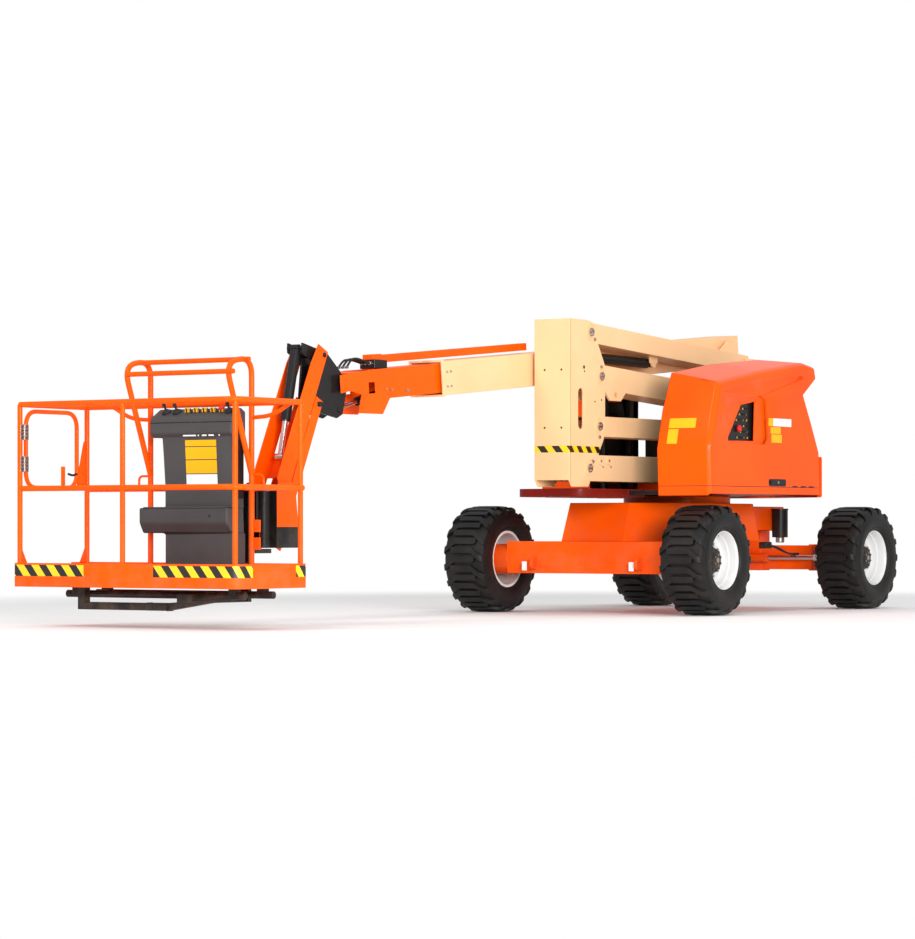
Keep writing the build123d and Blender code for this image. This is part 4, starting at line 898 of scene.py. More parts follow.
def add_ring_of_bolts(shape, count, ring, y, size, material):
    for i in range(count):
        angle = math.tau * (i + 0.5) / count
        centre = (ring * math.cos(angle), y, ring * math.sin(angle))
        add_bolt(shape, centre, Y_AXIS, size, material)


for wheel, (x, y, side) in wheels.items():
    shape = bmesh.new()
    spin_outline(shape, RIM_OUTLINE, 72, 0)
    spin_outline(shape, HUB_OUTLINE, 48, 1)
    bmesh.ops.remove_doubles(shape, verts=shape.verts, dist=0.00005)
    bmesh.ops.recalc_face_normals(shape, faces=shape.faces)
    for ring_of_bolts in HUB_BOLTS:
        add_ring_of_bolts(shape, *ring_of_bolts)
    add_disc(shape, (0, 0.1055, 0), Y_AXIS, 0.02, 0.0035, 24, 0.001, 2)
    add_tube(shape, VALVE_LINE, 0.004, 10, material=2)
    if side < 0:
        half_turn = Matrix.Rotation(math.pi, 3, "Z")
        bmesh.ops.rotate(shape, cent=(0, 0, 0), matrix=half_turn, verts=shape.verts)
    bmesh.ops.translate(shape, vec=(x, y, WHEEL_R), verts=shape.verts)
    rim = stand_in(f"rim_{wheel}_turned", f"rim_{wheel}", shape, (SILVER, BLACK, STEEL), 30)
print("rim", len(rim.data.polygons), "faces each")

# %% [markdown]
# The platform is one frame of bent tube on a folded floor. Round tube is swept along points whose
# corners were turned to the bending radius, which is how the real rails are made: one long tube
# in a bender, not short tubes with mitred joints.

# %% Platform rails
RAIL_R, POST_R, BEND = 0.019, 0.0175, 0.1
FOOT_Z, MID_Z, TOP_Z = 0.297, 0.930, 1.495
REAR_X, FRONT_X = 5.710, 6.412
FAR_Y, NEAR_Y = -1.428, 0.394
GUARD_YS = (-0.867, -0.008)
GUARD_TOP_Z = 1.800

shape = bmesh.new()
for z in (MID_Z, TOP_Z):
    side = [(REAR_X - 0.024, NEAR_Y, z), (FRONT_X, NEAR_Y, z), (FRONT_X, FAR_Y, z)]
    add_tube(shape, rounded_path(side, BEND, 10), RAIL_R, 18)
    add_tube(shape, [(REAR_X, FAR_Y, z), (REAR_X, NEAR_Y, z)], RAIL_R - 0.001, 18)
add_tube(shape, [(REAR_X, FAR_Y, TOP_Z), (FRONT_X, FAR_Y, TOP_Z)], RAIL_R - 0.001, 18)
tuck = BEND * (1 - math.sqrt(0.5))
posts = [(REAR_X, FAR_Y), (FRONT_X, FAR_Y), (REAR_X, NEAR_Y)]
posts += [(FRONT_X - tuck, NEAR_Y - tuck), (FRONT_X, -0.542)]
for x, y in posts:
    add_tube(shape, [(x, y, FOOT_Z), (x, y, TOP_Z)], POST_R, 16)
for y in GUARD_YS:
    guard = [
        (REAR_X, y, FOOT_Z),
        (REAR_X, y, GUARD_TOP_Z),
        (REAR_X + 0.29, y, GUARD_TOP_Z - 0.035),
        (REAR_X + 0.04, y, 1.125),
        (REAR_X, y, 1.023),
    ]
    add_tube(shape, rounded_path(guard, 0.11, 12), RAIL_R, 18)
reach = GUARD_YS[1] + 0.05
add_tube(shape, [(REAR_X + 0.09, GUARD_YS[0], 1.786), (REAR_X + 0.09, reach, 1.786)], 0.017, 16)
add_tube(shape, [(REAR_X + 0.262, GUARD_YS[0], 1.70), (REAR_X + 0.262, reach, 1.70)], 0.017, 16)
for y, way in ((GUARD_YS[0], -1), (GUARD_YS[1], 1)):
    loop = [(REAR_X, y, MID_Z + 0.088), (REAR_X, y + way * 0.1, MID_Z + 0.088)]
    add_tube(shape, rounded_path(loop + [(REAR_X, y + way * 0.1, MID_Z)], 0.034, 6), 0.008, 10)
    bar = [(REAR_X, y, 1.400), (REAR_X, y + way * 0.17, 1.410), (REAR_X, y + way * 0.33, TOP_Z)]
    add_tube(shape, rounded_path(bar, 0.4, 10), 0.014, 12)
for z in (1.02, 1.10):
    add_block(shape, (REAR_X - 0.01, 0.012, z - 0.5), (REAR_X + 0.003, 0.06, z - 0.38), 0.002)
rails = stand_in("platform_rails_bent", "platform_rails", shape, ORANGE, 50)
print("rails", len(rails.data.polygons), "faces")

# %% [markdown]
# The gate hangs in the short far side. Zinc hinges carry it at the front, and a latch with a black
# lever holds it at the rear. Small triangular gussets stiffen the corners of the opening under it.

# %% Gate, hinges and latch
GATE_REAR_X, GATE_FRONT_X = 5.820, 6.352
GATE_LOW_Z, GATE_HIGH_Z = 0.938, 1.453
HINGE_ZS = (1.095, 1.310)
middle = (GATE_REAR_X + GATE_FRONT_X) / 2
ring = [(middle, FAR_Y, GATE_LOW_Z), (GATE_REAR_X, FAR_Y, GATE_LOW_Z)]
ring += [(GATE_REAR_X, FAR_Y, GATE_HIGH_Z), (GATE_FRONT_X, FAR_Y, GATE_HIGH_Z)]
ring += [(GATE_FRONT_X, FAR_Y, GATE_LOW_Z), (middle, FAR_Y, GATE_LOW_Z)]
shape = bmesh.new()
add_tube(shape, rounded_path(ring, 0.11, 10)[:-1], 0.015, 16, closed=True)
add_panel(shape, 5.945, 5.985, 0.95, 1.085, FAR_Y - 0.003, FAR_Y + 0.003)
stand_in("gate_bent", "gate", shape, ORANGE, 50)

moving, fixed = bmesh.new(), bmesh.new()
for z in HINGE_ZS:
    for shape, x0, x1 in ((moving, 6.345, 6.384), (fixed, 6.390, 6.428)):
        add_panel(shape, x0, x1, z - 0.053, z + 0.053, FAR_Y + 0.016, FAR_Y + 0.020, corner=0.006)
        for step in range(4):
            spot = ((x0 + x1) / 2, FAR_Y + 0.0185, z - 0.036 + 0.024 * step)
            add_disc(shape, spot, (0, 1, 0), 0.0055, 0.0025, 12, material=1)
    add_tube(fixed, [(6.387, FAR_Y + 0.019, z - 0.05), (6.387, FAR_Y + 0.019, z + 0.05)], 0.0055, 12)
finish_piece("gate_hinge_leaves", moving, (STEEL, BLACK), "gate")
finish_piece("post_hinge_leaves", fixed, (STEEL, BLACK), "platform")

shape = bmesh.new()
lever = [(5.935, FAR_Y + 0.02, 1.035), (5.90, FAR_Y + 0.03, 1.024), (5.845, FAR_Y + 0.022, 1.035)]
add_tube(shape, rounded_path(lever, 0.05, 6), 0.008, 12)
finish_piece("latch_lever", shape, DARK, "gate")
shape = bmesh.new()
catch = [(5.735, 0.945), (5.815, 0.945), (5.815, 1.06), (5.79, 1.09), (5.735, 1.30)]
add_plate(shape, rounded_outline(catch, 0.01), FAR_Y - 0.004, FAR_Y + 0.004)
for x, z in ((5.755, 0.965), (5.795, 0.965), (5.755, 1.04)):
    add_bolt(shape, (x, FAR_Y + 0.004, z), (0, 1, 0), 0.009)
for x, way in ((5.733, 1), (6.395, -1)):
    gusset = [(x, 0.43), (x + way * 0.055, 0.43), (x, 0.53)]
    add_plate(shape, gusset, FAR_Y - 0.003, FAR_Y + 0.003)
finish_piece("gate_catch", shape, ORANGE, "platform")
print("gate from z", GATE_LOW_Z, "to", GATE_HIGH_Z)

# %% [markdown]
# The floor is one folded pan. A softened copy keeps its form, and the tape bands are cut into its
# outer skin, so the tape can't float or flicker. The deck gets the raised lozenges of tread plate,
# a few faces each.

# %% Floor, tape and tread
TAPE_Z = (0.343, 0.419)
TAPE_FAR_Y, TAPE_NEAR_Y = -0.853, -0.266
TAPE_REAR_X, TAPE_FRONT_X = 5.796, 6.266
STUDS_LONG, STUDS_WIDE = 40, 10
STUD_STEP_X, STUD_STEP_Y = 0.0285, 0.0405
floor_middle = Vector((6.061, -0.517, 0.35))
shape = softened("platform_floor", 0.003)
cut_at(shape, "z", TAPE_Z)
cut_at(shape, "y", (TAPE_FAR_Y, TAPE_NEAR_Y))
cut_at(shape, "x", (TAPE_REAR_X, TAPE_FRONT_X))


def is_taped(centre, normal):
    out = (centre - floor_middle).dot(normal)
    if out < 0 or abs(normal.z) > 0.5 or not TAPE_Z[0] < centre.z < TAPE_Z[1]:
        return False
    if centre.x > 6.43:
        return not TAPE_FAR_Y <= centre.y <= TAPE_NEAR_Y
    return centre.y > 0.30 and not TAPE_REAR_X <= centre.x <= TAPE_FRONT_X


print("taped faces", paint_faces(shape, 1, is_taped))
stand_in("platform_floor_pan", "platform_floor", shape, (ORANGE, TAPE))

shape = bmesh.new()
for row in range(STUDS_WIDE):
    for column in range(STUDS_LONG):
        turn = 1 if (row + column) % 2 else -1
        made = bmesh.ops.create_cone(
            shape, cap_ends=True, segments=8, radius1=0.016, radius2=0.010, depth=0.002
        )["verts"]
        bmesh.ops.scale(shape, verts=made, vec=(1, 0.32, 1))
        place = (6.095 + row * STUD_STEP_X, -1.30 + column * STUD_STEP_Y, 0.301)
        matrix = Matrix.Translation(place) @ Matrix.Rotation(turn * math.pi / 4, 4, "Z")
        bmesh.ops.transform(shape, matrix=matrix, verts=made)
add_block(shape, (6.0745, -1.3635, 0.2995), (6.3775, 0.3295, 0.3006), 0.0004, segments=1)
finish_piece("deck_tread", shape, DARK_STEEL, "platform")

# %% [markdown]
# The console is a rotomoulded box, so its corners are generously round. On its top stand three
# boots with levers, a row of toggles, some with yellow guards, and a red stop button. They stand
# square to the sloping slab, so one helper gives the places along it.

# %% Console
CONSOLE_X = 5.731
shape = softened("console", 0.012, 4)
stand_in("console_moulding", "console", shape, GREY, 40)

shape = bmesh.new()
slope_up = Vector((0.063, 0, 0.105)).normalized()
LEVER_YS = (-0.635, -0.545, -0.10)
TOGGLES, TOGGLE_STEP = 9, 0.036


def on_slab(y, along):
    """A place on the slab's sloping top, from its rear (0) to its front (1)."""
    return Vector((CONSOLE_X + 0.055 + 0.09 * along, y, 1.466 - 0.054 * along))


for y in LEVER_YS:
    foot = on_slab(y, 0.45)
    add_disc(shape, foot, slope_up, 0.034, 0.010, 20, 0.003)
    add_disc(shape, foot + slope_up * 0.008, slope_up, 0.028, 0.018, 16, 0.004, top=0.012)
    add_disc(shape, foot + slope_up * 0.024, slope_up, 0.007, 0.034, 12)
    add_disc(shape, foot + slope_up * 0.050, slope_up, 0.013, 0.022, 16, 0.006)
for step in range(TOGGLES):
    y = -0.455 + step * TOGGLE_STEP
    foot = on_slab(y, 0.5)
    add_disc(shape, foot, slope_up, 0.009, 0.008, 12, 0.002)
    add_disc(shape, foot + slope_up * 0.006, slope_up, 0.004, 0.026, 10, material=0)
    if step % 2 == 0:
        for way in (-1, 1):
            low = foot + Vector((-0.012, way * 0.011 - 0.002, 0))
            add_block(shape, low, low + Vector((0.026, 0.004, 0.030)), 0.001, 1)
finish_piece("console_controls", shape, (DARK, YELLOW), "platform")
shape = bmesh.new()
stop = on_slab(-0.165, 0.4)
add_disc(shape, stop, slope_up, 0.012, 0.024, 16)
add_disc(shape, stop + slope_up * 0.02, slope_up, 0.022, 0.014, 20, 0.005)
finish_piece("console_stop_button", shape, RED, "platform")
print("levers", len(LEVER_YS), "toggles", TOGGLES)

# %% [markdown]
# The console's face leans back a little. It carries yellow plates in three rows over a white one.
# They are made upright, and then each of their points moves along the machine by the lean. Black
# strips and a column of holes finish the edges.

# %% Console plates and trim
shape = bmesh.new()
LEAN = 0.022 / 0.36
PLATE_Y = (-0.445, -0.185)
rows = ((1.212, 1.253), (1.124, 1.206), (1.030, 1.118))
for z0, z1 in rows:
    add_panel(shape, *PLATE_Y, z0, z1, 0.0, 0.0012, "x", 0.003)
add_panel(shape, *PLATE_Y, 0.952, 1.024, 0.0, 0.0012, "x", 0.003, 1)
for y0, y1 in ((-0.45, -0.34), (-0.325, -0.315), (-0.29, -0.25), (-0.235, -0.19), (-0.15, -0.14)):
    add_panel(shape, y0, y1, 1.278, 1.288, 0.015, 0.0165, "x", 0.001, 1)
for vert in shape.verts:
    vert.co.x += CONSOLE_X + 0.1185 + (vert.co.z - 0.94) * LEAN
finish_piece("console_plates", shape, (YELLOW, WHITE), "platform")

shape = bmesh.new()
add_block(shape, (CONSOLE_X + 0.150, -0.728, 1.368), (CONSOLE_X + 0.1595, -0.042, 1.374), 0.001)
add_block(shape, (CONSOLE_X + 0.118, -0.640, 0.930), (CONSOLE_X + 0.124, -0.055, 0.944), 0.002)
add_block(shape, (CONSOLE_X + 0.01, -0.058, 0.86), (CONSOLE_X + 0.10, -0.050, 1.25), 0.002)
for step in range(7):
    spot = (CONSOLE_X + 0.075, -0.0502, 0.92 + step * 0.045)
    add_disc(shape, spot, (0, 1, 0), 0.007, 0.001, 12, material=1)
add_disc(shape, (CONSOLE_X + 0.19, -0.20, 0.745), (1, 0, 0), 0.009, 0.0015, 14, material=1)
finish_piece("console_trim", shape, (BLACK, DARK), "platform")
print("console plates in", len(rows) + 1, "rows")

# %% [markdown]
# The hoods are moulded lids with soft corners. On the left one a sunken field surrounds the
# window of the ground controls, and a shallow channel runs from it up to the rear. Each hollow is
# cut out of the flat side by planes, and the faces inside it are pushed in with their walls.

# %% Hoods
HOOD_Y = 1.0805
HOOD_HEART = {1: Vector((0.45, 0.80, 1.40)), -1: Vector((-0.06, -0.80, 1.40))}
HOLLOW_FROM_Y = 0.98


def is_outside(face):
    return face.calc_center_median().y > HOLLOW_FROM_Y


def sink(shape, outline, depth):
    """Push in the part of the side that lies inside a convex outline of (x, z)."""
    middle = Vector((sum(p[0] for p in outline), 0, sum(p[1] for p in outline))) / len(outline)
    edges = []
    for a, b in zip(outline, outline[1:] + outline[:1]):
        along = Vector((b[0] - a[0], 0, b[1] - a[1]))
        out = along.cross(Vector((0, 1, 0))).normalized()
        start = Vector((a[0], 0, a[1]))
        if (middle - start).dot(out) > 0:
            out = -out
        edges.append((start, out))
        faces = [f for f in shape.faces if is_outside(f) and abs(f.normal.y) > 0.3]
        geom = faces + list({e for f in faces for e in f.edges} | {v for f in faces for v in f.verts})
        bmesh.ops.bisect_plane(shape, geom=geom, dist=0.00001, plane_co=start, plane_no=out)

    def inside(face):
        centre = face.calc_center_median()
        return is_outside(face) and all((centre - start).dot(out) < 0.0005 for start, out in edges)

    region = [face for face in shape.faces if inside(face)]
    pushed = moved_verts(bmesh.ops.extrude_face_region(shape, geom=region))
    bmesh.ops.translate(shape, verts=pushed, vec=(0, -depth, 0))
    bmesh.ops.delete(shape, geom=[f for f in region if f.is_valid], context="FACES_ONLY")
    return len(region)


def is_inner(centre, normal, heart):
    """Whether a face looks in at the hood's heart, or out over the open back."""
    if abs(centre.y) > 1.04 and abs(normal.y) < 0.8:
        return False
    back = abs(centre.y) < 0.665 and normal.z < 0.3 and normal.x < 0.5
    return back or (centre - heart).dot(normal) < 0


SEAM_Z = (0.981, 0.986)
hood_shapes = {}
for name, side in (("left", 1), ("right", -1)):
    shape = softened(f"hood_{name}", 0.010, 3)
    if side > 0:
        channel = [(1.16, 1.700), (1.05, 1.735), (-0.10, 1.868), (-0.13, 1.845), (0.52, 1.695)]
        print("channel faces", sink(shape, channel, 0.010))
        field = [(1.155, 1.50), (1.10, 1.640), (0.58, 1.692), (0.50, 1.66)]
        field += [(0.475, 1.36), (0.52, 1.312), (1.11, 1.312)]
        print("field faces", sink(shape, field, 0.026))
    cut_at(shape, "z", SEAM_Z)
    # The faces inside each hood and over its open back take black as painted shade, so that the gaps
    # between the arms read dark.
    paint_faces(shape, 1, lambda c, n: is_inner(c, n, HOOD_HEART[side]))
    paint_faces(shape, 1, lambda c, n: SEAM_Z[0] < c.z < SEAM_Z[1] and abs(n.z) < 0.5)
    node = f"hood_{name}"
    hood_shapes[name] = BVHTree.FromBMesh(shape)
    stand_in(f"{node}_moulding", node, shape, (HOOD_ORANGE, BLACK), 35)

# %% [markdown]
# Small things on the left hood: a black latch in its scoop, three short slots, and plates in yellow
# and white. The plates on the front are laid on its slope by rays that come in along the machine.

# %% Hood latch and plates
shape = bmesh.new()
add_panel(shape, 0.175, 0.46, 0.990, 1.046, HOOD_Y - 0.001, HOOD_Y + 0.004, corner=0.02)
add_panel(shape, 0.20, 0.44, 1.004, 1.034, HOOD_Y + 0.003, HOOD_Y + 0.012, corner=0.012)
for x in (0.02, -0.12, -0.26):
    add_panel(shape, x - 0.045, x + 0.045, 0.986, 0.996, HOOD_Y - 0.001, HOOD_Y + 0.001, corner=0.004)
add_disc(shape, (0.32, HOOD_Y + 0.011, 1.019), (0, 1, 0), 0.011, 0.004, 16, 0.001, 1)
finish_piece("hood_latch", shape, (BLACK, STEEL), "hood_left")

shape = bmesh.new()
for x0, x1, z0, z1, finish in (
    (0.386, 0.462, 1.459, 1.520, 0),
    (0.085, 0.384, 1.459, 1.520, 1),
    (0.262, 0.430, 1.400, 1.452, 0),
    (0.245, 0.415, 1.330, 1.394, 0),
):
    add_panel(shape, x0, x1, z0, z1, HOOD_Y, HOOD_Y + 0.001, "y", 0.004, finish)
finish_piece("hood_side_plates", shape, (YELLOW, WHITE), "hood_left")
shape = bmesh.new()
add_panel(shape, 0.700, 0.930, 1.425, 1.500, 0.0, 0.001, "x", 0.004)
add_panel(shape, 0.700, 0.788, 1.305, 1.417, 0.0, 0.001, "x", 0.004)
for vert in shape.verts:
    hit = hood_shapes["left"].ray_cast(Vector((3.0, vert.co.y, vert.co.z)), Vector((-1, 0, 0)))[0]
    vert.co.x += hit.x + 0.0005
finish_piece("hood_front_plates", shape, YELLOW, "hood_left")
print("the last ray met the hood at x", round(hit.x, 3))

# %% [markdown]
# Behind the window sits the board of the ground controls: a dark plate with rows of small toggles
# and lamps and one red mushroom button. It is fixed to the turntable, so it stays when the lid
# opens.

# %% Ground controls
BOARD_Y = 1.0205
STOP_X, STOP_Z = 0.86, 1.43
shape = bmesh.new()
add_disc(shape, (STOP_X, BOARD_Y, STOP_Z), (0, 1, 0), 0.012, 0.018, 16)
add_disc(shape, (STOP_X, BOARD_Y + 0.014, STOP_Z), (0, 1, 0), 0.027, 0.014, 24, 0.006)
finish_piece("ground_stop_button", shape, RED, "turntable")
shape = bmesh.new()
for row in range(6):
    for column in range(4):
        x = 0.70 + column * 0.055 + row * 0.004
        z = 1.36 + row * 0.045
        at_button = abs(x - STOP_X) < 0.035 and abs(z - STOP_Z) < 0.035
        if at_button or z > 1.62 - (x - 0.66) * 0.15:
            continue
        add_disc(shape, (x, BOARD_Y, z), (0, 1, 0), 0.0075, 0.005, 12, 0.001, (row + column) % 3)
        add_disc(shape, (x, BOARD_Y + 0.004, z), (0, 0.9, 0.4), 0.003, 0.016, 8, 0.0, 2)
add_disc(shape, (0.90, BOARD_Y, 1.545), (0, 1, 0), 0.030, 0.005, 24, 0.001, 2)
finish_piece("ground_toggles", shape, (YELLOW, STEEL, DARK), "turntable")
print("board at y", BOARD_Y)

# %% [markdown]
# The counterweight closes the tail. Its lower ring is painted like the hoods, and the upper block
# is bare casting. The turntable's frame is black, and its tray under the upright takes a dark red painted
# shade.

# %% Tail and turntable
TAIL_RING_TOP_Z = 1.236
shape = softened("counterweight", 0.012, 3)
paint_faces(shape, 1, lambda c, n: c.z < TAIL_RING_TOP_Z)
stand_in("counterweight_cast", "counterweight", shape, (CAST, HOOD_ORANGE), 40)
shape = softened("turntable_frame", 0.003)
# Slot 1 is the dark red painted shade on the tray under the upright, where the upright's shadow falls.
paint_faces(shape, 1, lambda c, n: c.x > 1.12 and c.z < 0.98 and abs(c.y) < 0.36)
stand_in("turntable_plate", "turntable_frame", shape, (BLACK, PAINTED_SHADE_RED))

# %% [markdown]
# The two pairs of arms and the upright are welded from plate and painted cream, and softened
# copies of the solids show that well. The tape across the upright, and a dark seam near its edge,
# are cut into the plate's own faces, so that they can't float or flicker.

# %% Arms and upright
for node in ("lower_arm", "lower_link", "upper_arm", "upper_link", "boom_mount"):
    dress(node, CREAM, 0.003)
shape = softened("upright", 0.004, 3)
BAND_Z, SEAM_X = (1.233, 1.283), (2.106, 2.1095)
cut_at(shape, "z", BAND_Z)
cut_at(shape, "x", SEAM_X)


def on_near_side(centre, normal):
    return normal.y > 0.6 and centre.y > 0.26


def is_banded(centre, normal):
    return BAND_Z[0] < centre.z < BAND_Z[1] and (normal.x > 0.6 or on_near_side(centre, normal))


print("upright tape", paint_faces(shape, 1, is_banded))
paint_faces(shape, 2, lambda c, n: SEAM_X[0] < c.x < SEAM_X[1] and on_near_side(c, n))
stand_in("upright_box", "upright", shape, (CREAM, TAPE, BLACK))

# %% [markdown]
# Each pin shows a zinc head with three bolts, a keeper with its own bolt, and a faint ring of weld
# where its boss joins the plate. Metal and painted parts gather in a bmesh each, because they take
# different finishes.

# %% Pins, keepers and bolts
SIDE_Y, FACE_X = 0.280, 2.124
# Each pin at (x, z), with the way from it to its keeper's bolt
PINS = {
    (1.821, 2.150): (-0.062, -0.052),
    (1.668, 1.820): (-0.004, 0.072),
    (1.696, 1.438): (-0.004, -0.082),
    (1.840, 1.119): (-0.052, 0.050),
}


def ring_line(centre, radius):
    angles = [math.radians(10 * i) for i in range(36)]
    x, y, z = centre
    return [(x + radius * math.cos(angle), y, z + radius * math.sin(angle)) for angle in angles]


def turned_outline(outline, x, z, angle):
    """An outline of (along, up), turned about its start and moved to (x, z)."""
    cos, sin = math.cos(angle), math.sin(angle)
    return [(x + a * cos - b * sin, z + a * sin + b * cos) for a, b in outline]


metal_parts, welds = bmesh.new(), bmesh.new()
for (x, z), (kx, kz) in PINS.items():
    face = SIDE_Y + 0.0145
    add_disc(metal_parts, (x, face, z), (0, 1, 0), 0.033, 0.005, 28, 0.0015)
    for turn in range(3):
        angle = math.tau * turn / 3 + 0.5
        spot = (x + 0.018 * math.cos(angle), face + 0.004, z + 0.018 * math.sin(angle))
        add_bolt(metal_parts, spot, (0, 1, 0), 0.010)
    add_bolt(metal_parts, (x + kx, SIDE_Y + 0.003, z + kz), (0, 1, 0), 0.013)
    end = math.hypot(kx, kz) + 0.016
    keeper = [(-0.014, -0.012), (end, -0.012), (end, 0.012), (-0.014, 0.012)]
    turned = turned_outline(rounded_outline(keeper, 0.010), x, z, math.atan2(kz, kx))
    add_plate(welds, turned, SIDE_Y, SIDE_Y + 0.004)
    add_tube(welds, ring_line((x, SIDE_Y + 0.001, z), 0.062), 0.0025, 6, closed=True)
for x, z in ((1.641, 1.175), (1.522, 1.177)):
    add_disc(welds, (x, 0.262, z), (0, 1, 0), 0.030, 0.006, 24, 0.002)
finish_piece("upright_welds", welds, CREAM, "upright")
for z in (1.856, 1.419):
    for y in (0.062, 0.210):
        add_disc(metal_parts, (FACE_X, y, z), (1, 0, 0), 0.0085, 0.0012, 14, 0.0, 1)
plugs = ((1.752, 1.625, 0.008), (1.655, 1.640, 0.008), (1.912, 1.881, 0.014), (1.905, 1.850, 0.008))
for x, z, size in plugs:
    add_disc(metal_parts, (x, SIDE_Y, z), (0, 1, 0), size, 0.0012, 14, 0.0, 1)
finish_piece("upright_bolts", metal_parts, (STEEL, DARK_STEEL), "upright")

shape = bmesh.new()
for x, z in ((1.638, 1.176), (1.520, 1.178)):
    add_disc(shape, (x, 0.2615, z), (0, 1, 0), 0.020, 0.006, 20, 0.002)
    add_bolt(shape, (x, 0.266, z), (0, 1, 0), 0.010)
    add_bolt(shape, (x - 0.035, 0.2605, z - 0.045), (0, 1, 0), 0.008)
finish_piece("lower_arm_bolts", shape, STEEL, "lower_arm")
print("pins dressed", len(PINS))

# %% [markdown]
# The boom is a square tube in a square tube. The outer one is cream and shows the bolts of its wear
# pads at its end, and the inner one is orange and carries the jib. A slim tube beside them carries
# the hoses, which a black clamp on the inner tube holds.

# %% Boom, fly and carrier
dress("base_boom", CREAM, 0.004)
dress("fly_boom", ORANGE, 0.004)
dress("carrier_tube", ORANGE, 0.003)
BOOM_SIDE_Y, FLY_SIDE_Y = -0.060, -0.082
shape = bmesh.new()
for x, z in ((3.275, 1.800), (3.225, 1.806), (3.265, 1.695), (3.215, 1.701)):
    add_bolt(shape, (x, BOOM_SIDE_Y, z), (0, 1, 0), 0.009)
finish_piece("wear_pad_bolts", shape, STEEL, "base_boom")
shape = bmesh.new()
for x, z, size in ((4.02, 1.652, 0.008), (3.955, 1.648, 0.008), (3.757, 1.650, 0.012)):
    add_bolt(shape, (x, FLY_SIDE_Y, z), (0, 1, 0), size)
add_block(shape, (3.93, -0.265, 1.795), (4.09, -0.135, 1.862), 0.006, 1)
HOSE_YS = (-0.235, -0.200, -0.165)
for y in HOSE_YS:
    add_disc(shape, (4.088, y, 1.832), (1, 0, 0), 0.013, 0.030, 12, 0.002)
finish_piece("hose_clamp", shape, (STEEL, BLACK), "fly")

# %% [markdown]
# A hose is one smooth spline between two fittings, and hangs a little between them. The three at
# the fly's nose leave the clamp level, rise, and dip into the top of the fly.

# %% Boom hoses
def hose(name, points, diameter, body):
    """A hydraulic hose: one smooth spline, held in a fitting at both ends."""
    data = bpy.data.curves.new(name, "CURVE")
    data.dimensions = "3D"
    data.bevel_depth = diameter / 2
    data.bevel_resolution = 3
    data.use_fill_caps = True
    spline = data.splines.new("NURBS")
    spline.points.add(len(points) - 1)
    for point, place in zip(spline.points, points):
        point.co = (*place, 1)
    spline.order_u = 3
    spline.use_endpoint_u = True
    spline.resolution_u = 12
    data.materials.append(HOSE)
    piece = add_to_scene(name, data)
    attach(piece, body)
    length = round(spline.calc_length(resolution=60), 4)
    return length


HOSE_D = 0.016
fittings = bmesh.new()
for i, y in enumerate(HOSE_YS):
    rise = 0.004 * i
    arch = [(4.104, y, 1.832), (4.185, y, 1.846), (4.27, y, 1.854 + rise)]
    arch += [(4.345, y, 1.842 + rise), (4.39, y, 1.792)]
    print("boom hose", i, hose(f"boom_hose_{i}", arch, HOSE_D, "fly"), "m")
    add_disc(fittings, (4.39, y, 1.784), (0, 0, 1), 0.013, 0.016, 12, 0.002)
finish_piece("hose_fittings", fittings, DARK_STEEL, "fly")

# %% [markdown]
# The jib is a pair of orange plates with a lift cylinder between them and a link behind. Its black
# bracket at the fly's nose is a casting. The box at its foot is black, with orange covers on its
# sides.

# %% Jib and platform bracket
for node in ("jib_arm", "jib_link"):
    dress(node, ORANGE, 0.004)
for node in ("jib_bracket", "jib_barrel", "lift_barrel", "level_barrel"):
    dress(node, BLACK, 0.003)
for node in ("riser_barrel", "platform_support"):
    dress(node, BLACK, 0.003)
shape = softened("platform_bracket", 0.004)
COVER_LOW_Z = 0.672
cut_at(shape, "z", (COVER_LOW_Z,))


def is_cover(centre, normal):
    if centre.z < COVER_LOW_Z or centre.x > 5.335:
        return False
    return centre.y > -0.085 and normal.y > 0.3 or centre.y < -0.315 and normal.y < -0.3


print("bracket cover", paint_faces(shape, 1, is_cover))
finish = (BLACK, ORANGE)
finish_piece("platform_bracket_box", shape, finish, "platform_bracket", ("platform_bracket",))

# %% [markdown]
# The chassis is a welded body on two axles. Its plates are orange, with a dark red painted shade
# where they lie in shade, and the filter canister that hangs at the tail is black.

# %% Chassis and axles
dress("drive_axle", ORANGE, 0.005)
dress("steer_axle", ORANGE, 0.004)
for node in ("knuckle_left", "knuckle_right"):
    dress(node, BLACK, 0.003)
shape = softened("chassis_frame", 0.005)
CANISTER_X, CANISTER_Y, CANISTER_LOW_Z = -1.12, 0.347, 0.585


def on_canister(centre, normal):
    return abs(centre.x - CANISTER_X) < 0.07 and centre.y > 0.28 and centre.z < 0.83


print("canister faces", paint_faces(shape, 1, on_canister))


# The near side of the tail, under the hood, takes the dark red painted shade in place of its shadow.
def is_in_painted_shade(centre, normal):
    return -1.0 < centre.x < -0.15 and centre.z > 0.63 and normal.y > 0.8


print("dark red faces", paint_faces(shape, 2, is_in_painted_shade))
stand_in("chassis_body", "chassis_frame", shape, (ORANGE, BLACK, PAINTED_SHADE_RED))

# %% [markdown]
# Below the canister hangs its zinc bowl. Two hoses run in the open from a block on the chassis to
# the steer axle, and sag between their ends.

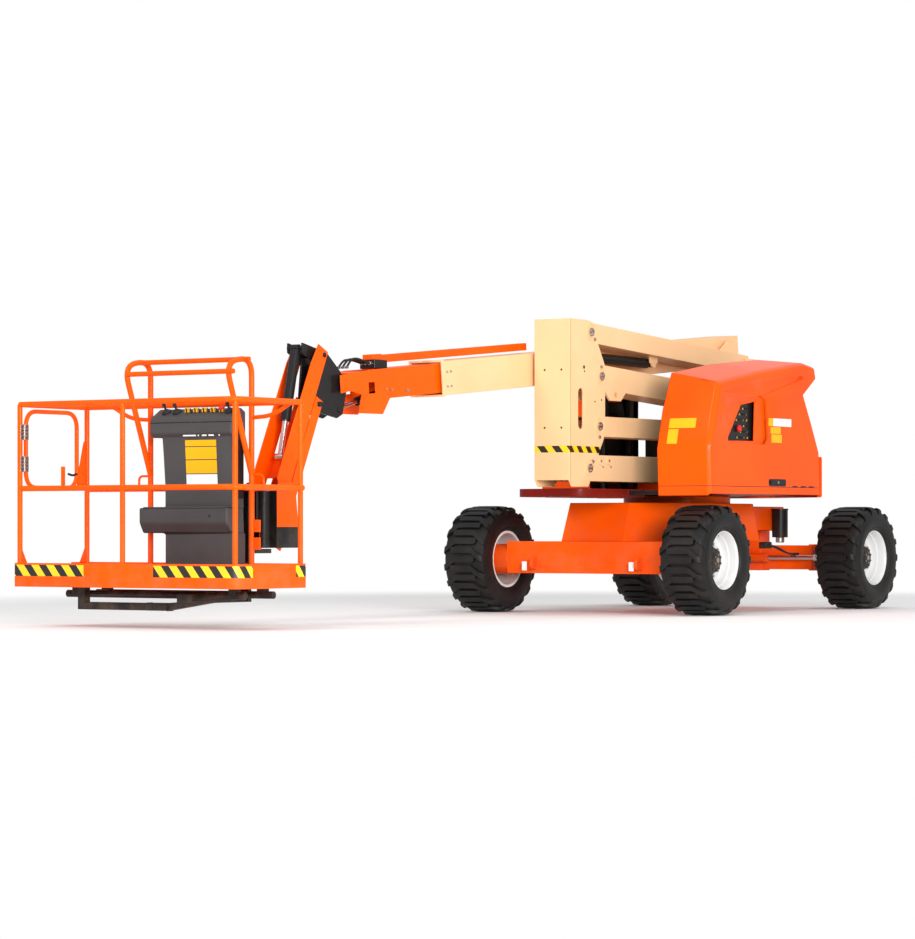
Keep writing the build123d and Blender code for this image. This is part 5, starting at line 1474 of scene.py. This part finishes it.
# %% Canister bowl and steer hoses
shape = bmesh.new()
bowl_z = CANISTER_LOW_Z + 0.002
add_disc(shape, (CANISTER_X, CANISTER_Y, bowl_z), (0, 0, -1), 0.036, 0.045, 24, 0.008)
add_disc(shape, (CANISTER_X, CANISTER_Y, 0.812), (0, 0, 1), 0.070, 0.012, 32, 0.003, 1)
finish_piece("canister_bowl", shape, (STEEL, BLACK), "chassis")
shape = bmesh.new()
HOSE_BLOCK = ((-0.70, 0.425, 0.495), (-0.60, 0.495, 0.55))
add_block(shape, *HOSE_BLOCK, 0.006)
for i, y in enumerate((0.445, 0.475)):
    add_disc(shape, (-0.698, y, 0.522), (-1, 0, 0), 0.011, 0.022, 12, 0.002)
    run = [(-0.718, y, 0.522), (-0.83, y, 0.508), (-0.95, y, 0.478 - 0.008 * i)]
    run += [(-1.06, y, 0.455 - 0.008 * i), (-1.178, y, 0.448)]
    print("steer hose", i, hose(f"steer_hose_{i}", run, 0.014, "chassis"), "m")
    add_disc(shape, (-1.176, y, 0.448), (-1, 0, 0), 0.011, 0.022, 12, 0.002)
finish_piece("steer_hose_block", shape, BLACK, "chassis")

# %% [markdown]
# Two small white plates stand on the front of the drive axle. Their place is measured from the
# axle's own box, so that they lie against its face.

# %% Axle plates
shape = bmesh.new()
for y in (-0.547, 0.419):
    add_panel(shape, y - 0.022, y + 0.022, 0.333, 0.402, 0.0, 0.0012, "x", 0.004)
PLATE_INSET = 0.028
plate_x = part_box("drive_axle")[1][0] - PLATE_INSET
bmesh.ops.translate(shape, verts=shape.verts, vec=(plate_x, 0, 0))
finish_piece("axle_plates", shape, WHITE, "chassis")
print("plates at x", round(plate_x, 3))

# %% [markdown]
# The floor is a plain pale grey that keeps the machine's soft shadow. From five metres out it fades
# to plain white for the camera, so that no horizon cuts across the picture.

# %% Floor finish
FADE_START, FADE_END = 5.0, 9.0
floor_material, floor_tree, floor_shader = start_material("pale_floor")
tone = noise(floor_tree, 0.6, 2.0)
shade = blend_colours(floor_tree, tone, (0.86, 0.86, 0.86, 1), (0.9, 0.9, 0.9, 1))
floor_tree.links.new(shade, floor_shader.inputs["Base Color"])
floor_shader.inputs["Roughness"].default_value = 0.8
coords = floor_tree.nodes.new("ShaderNodeTexCoord")
distance = floor_tree.nodes.new("ShaderNodeVectorMath")
distance.operation = "LENGTH"
floor_tree.links.new(coords.outputs["Object"], distance.inputs[0])
far = ramp(floor_tree, distance.outputs["Value"], FADE_START, FADE_END)
seen_direct = floor_tree.nodes.new("ShaderNodeLightPath")
far = math_node(floor_tree, "MULTIPLY", far, seen_direct.outputs["Is Camera Ray"])
white = floor_tree.nodes.new("ShaderNodeEmission")
blend = floor_tree.nodes.new("ShaderNodeMixShader")
floor_out = floor_tree.nodes["Material Output"]
floor_tree.links.new(far, blend.inputs[0])
floor_tree.links.new(floor_shader.outputs[0], blend.inputs[1])
floor_tree.links.new(white.outputs[0], blend.inputs[2])
floor_tree.links.new(blend.outputs[0], floor_out.inputs["Surface"])
floor.data.materials.append(floor_material)
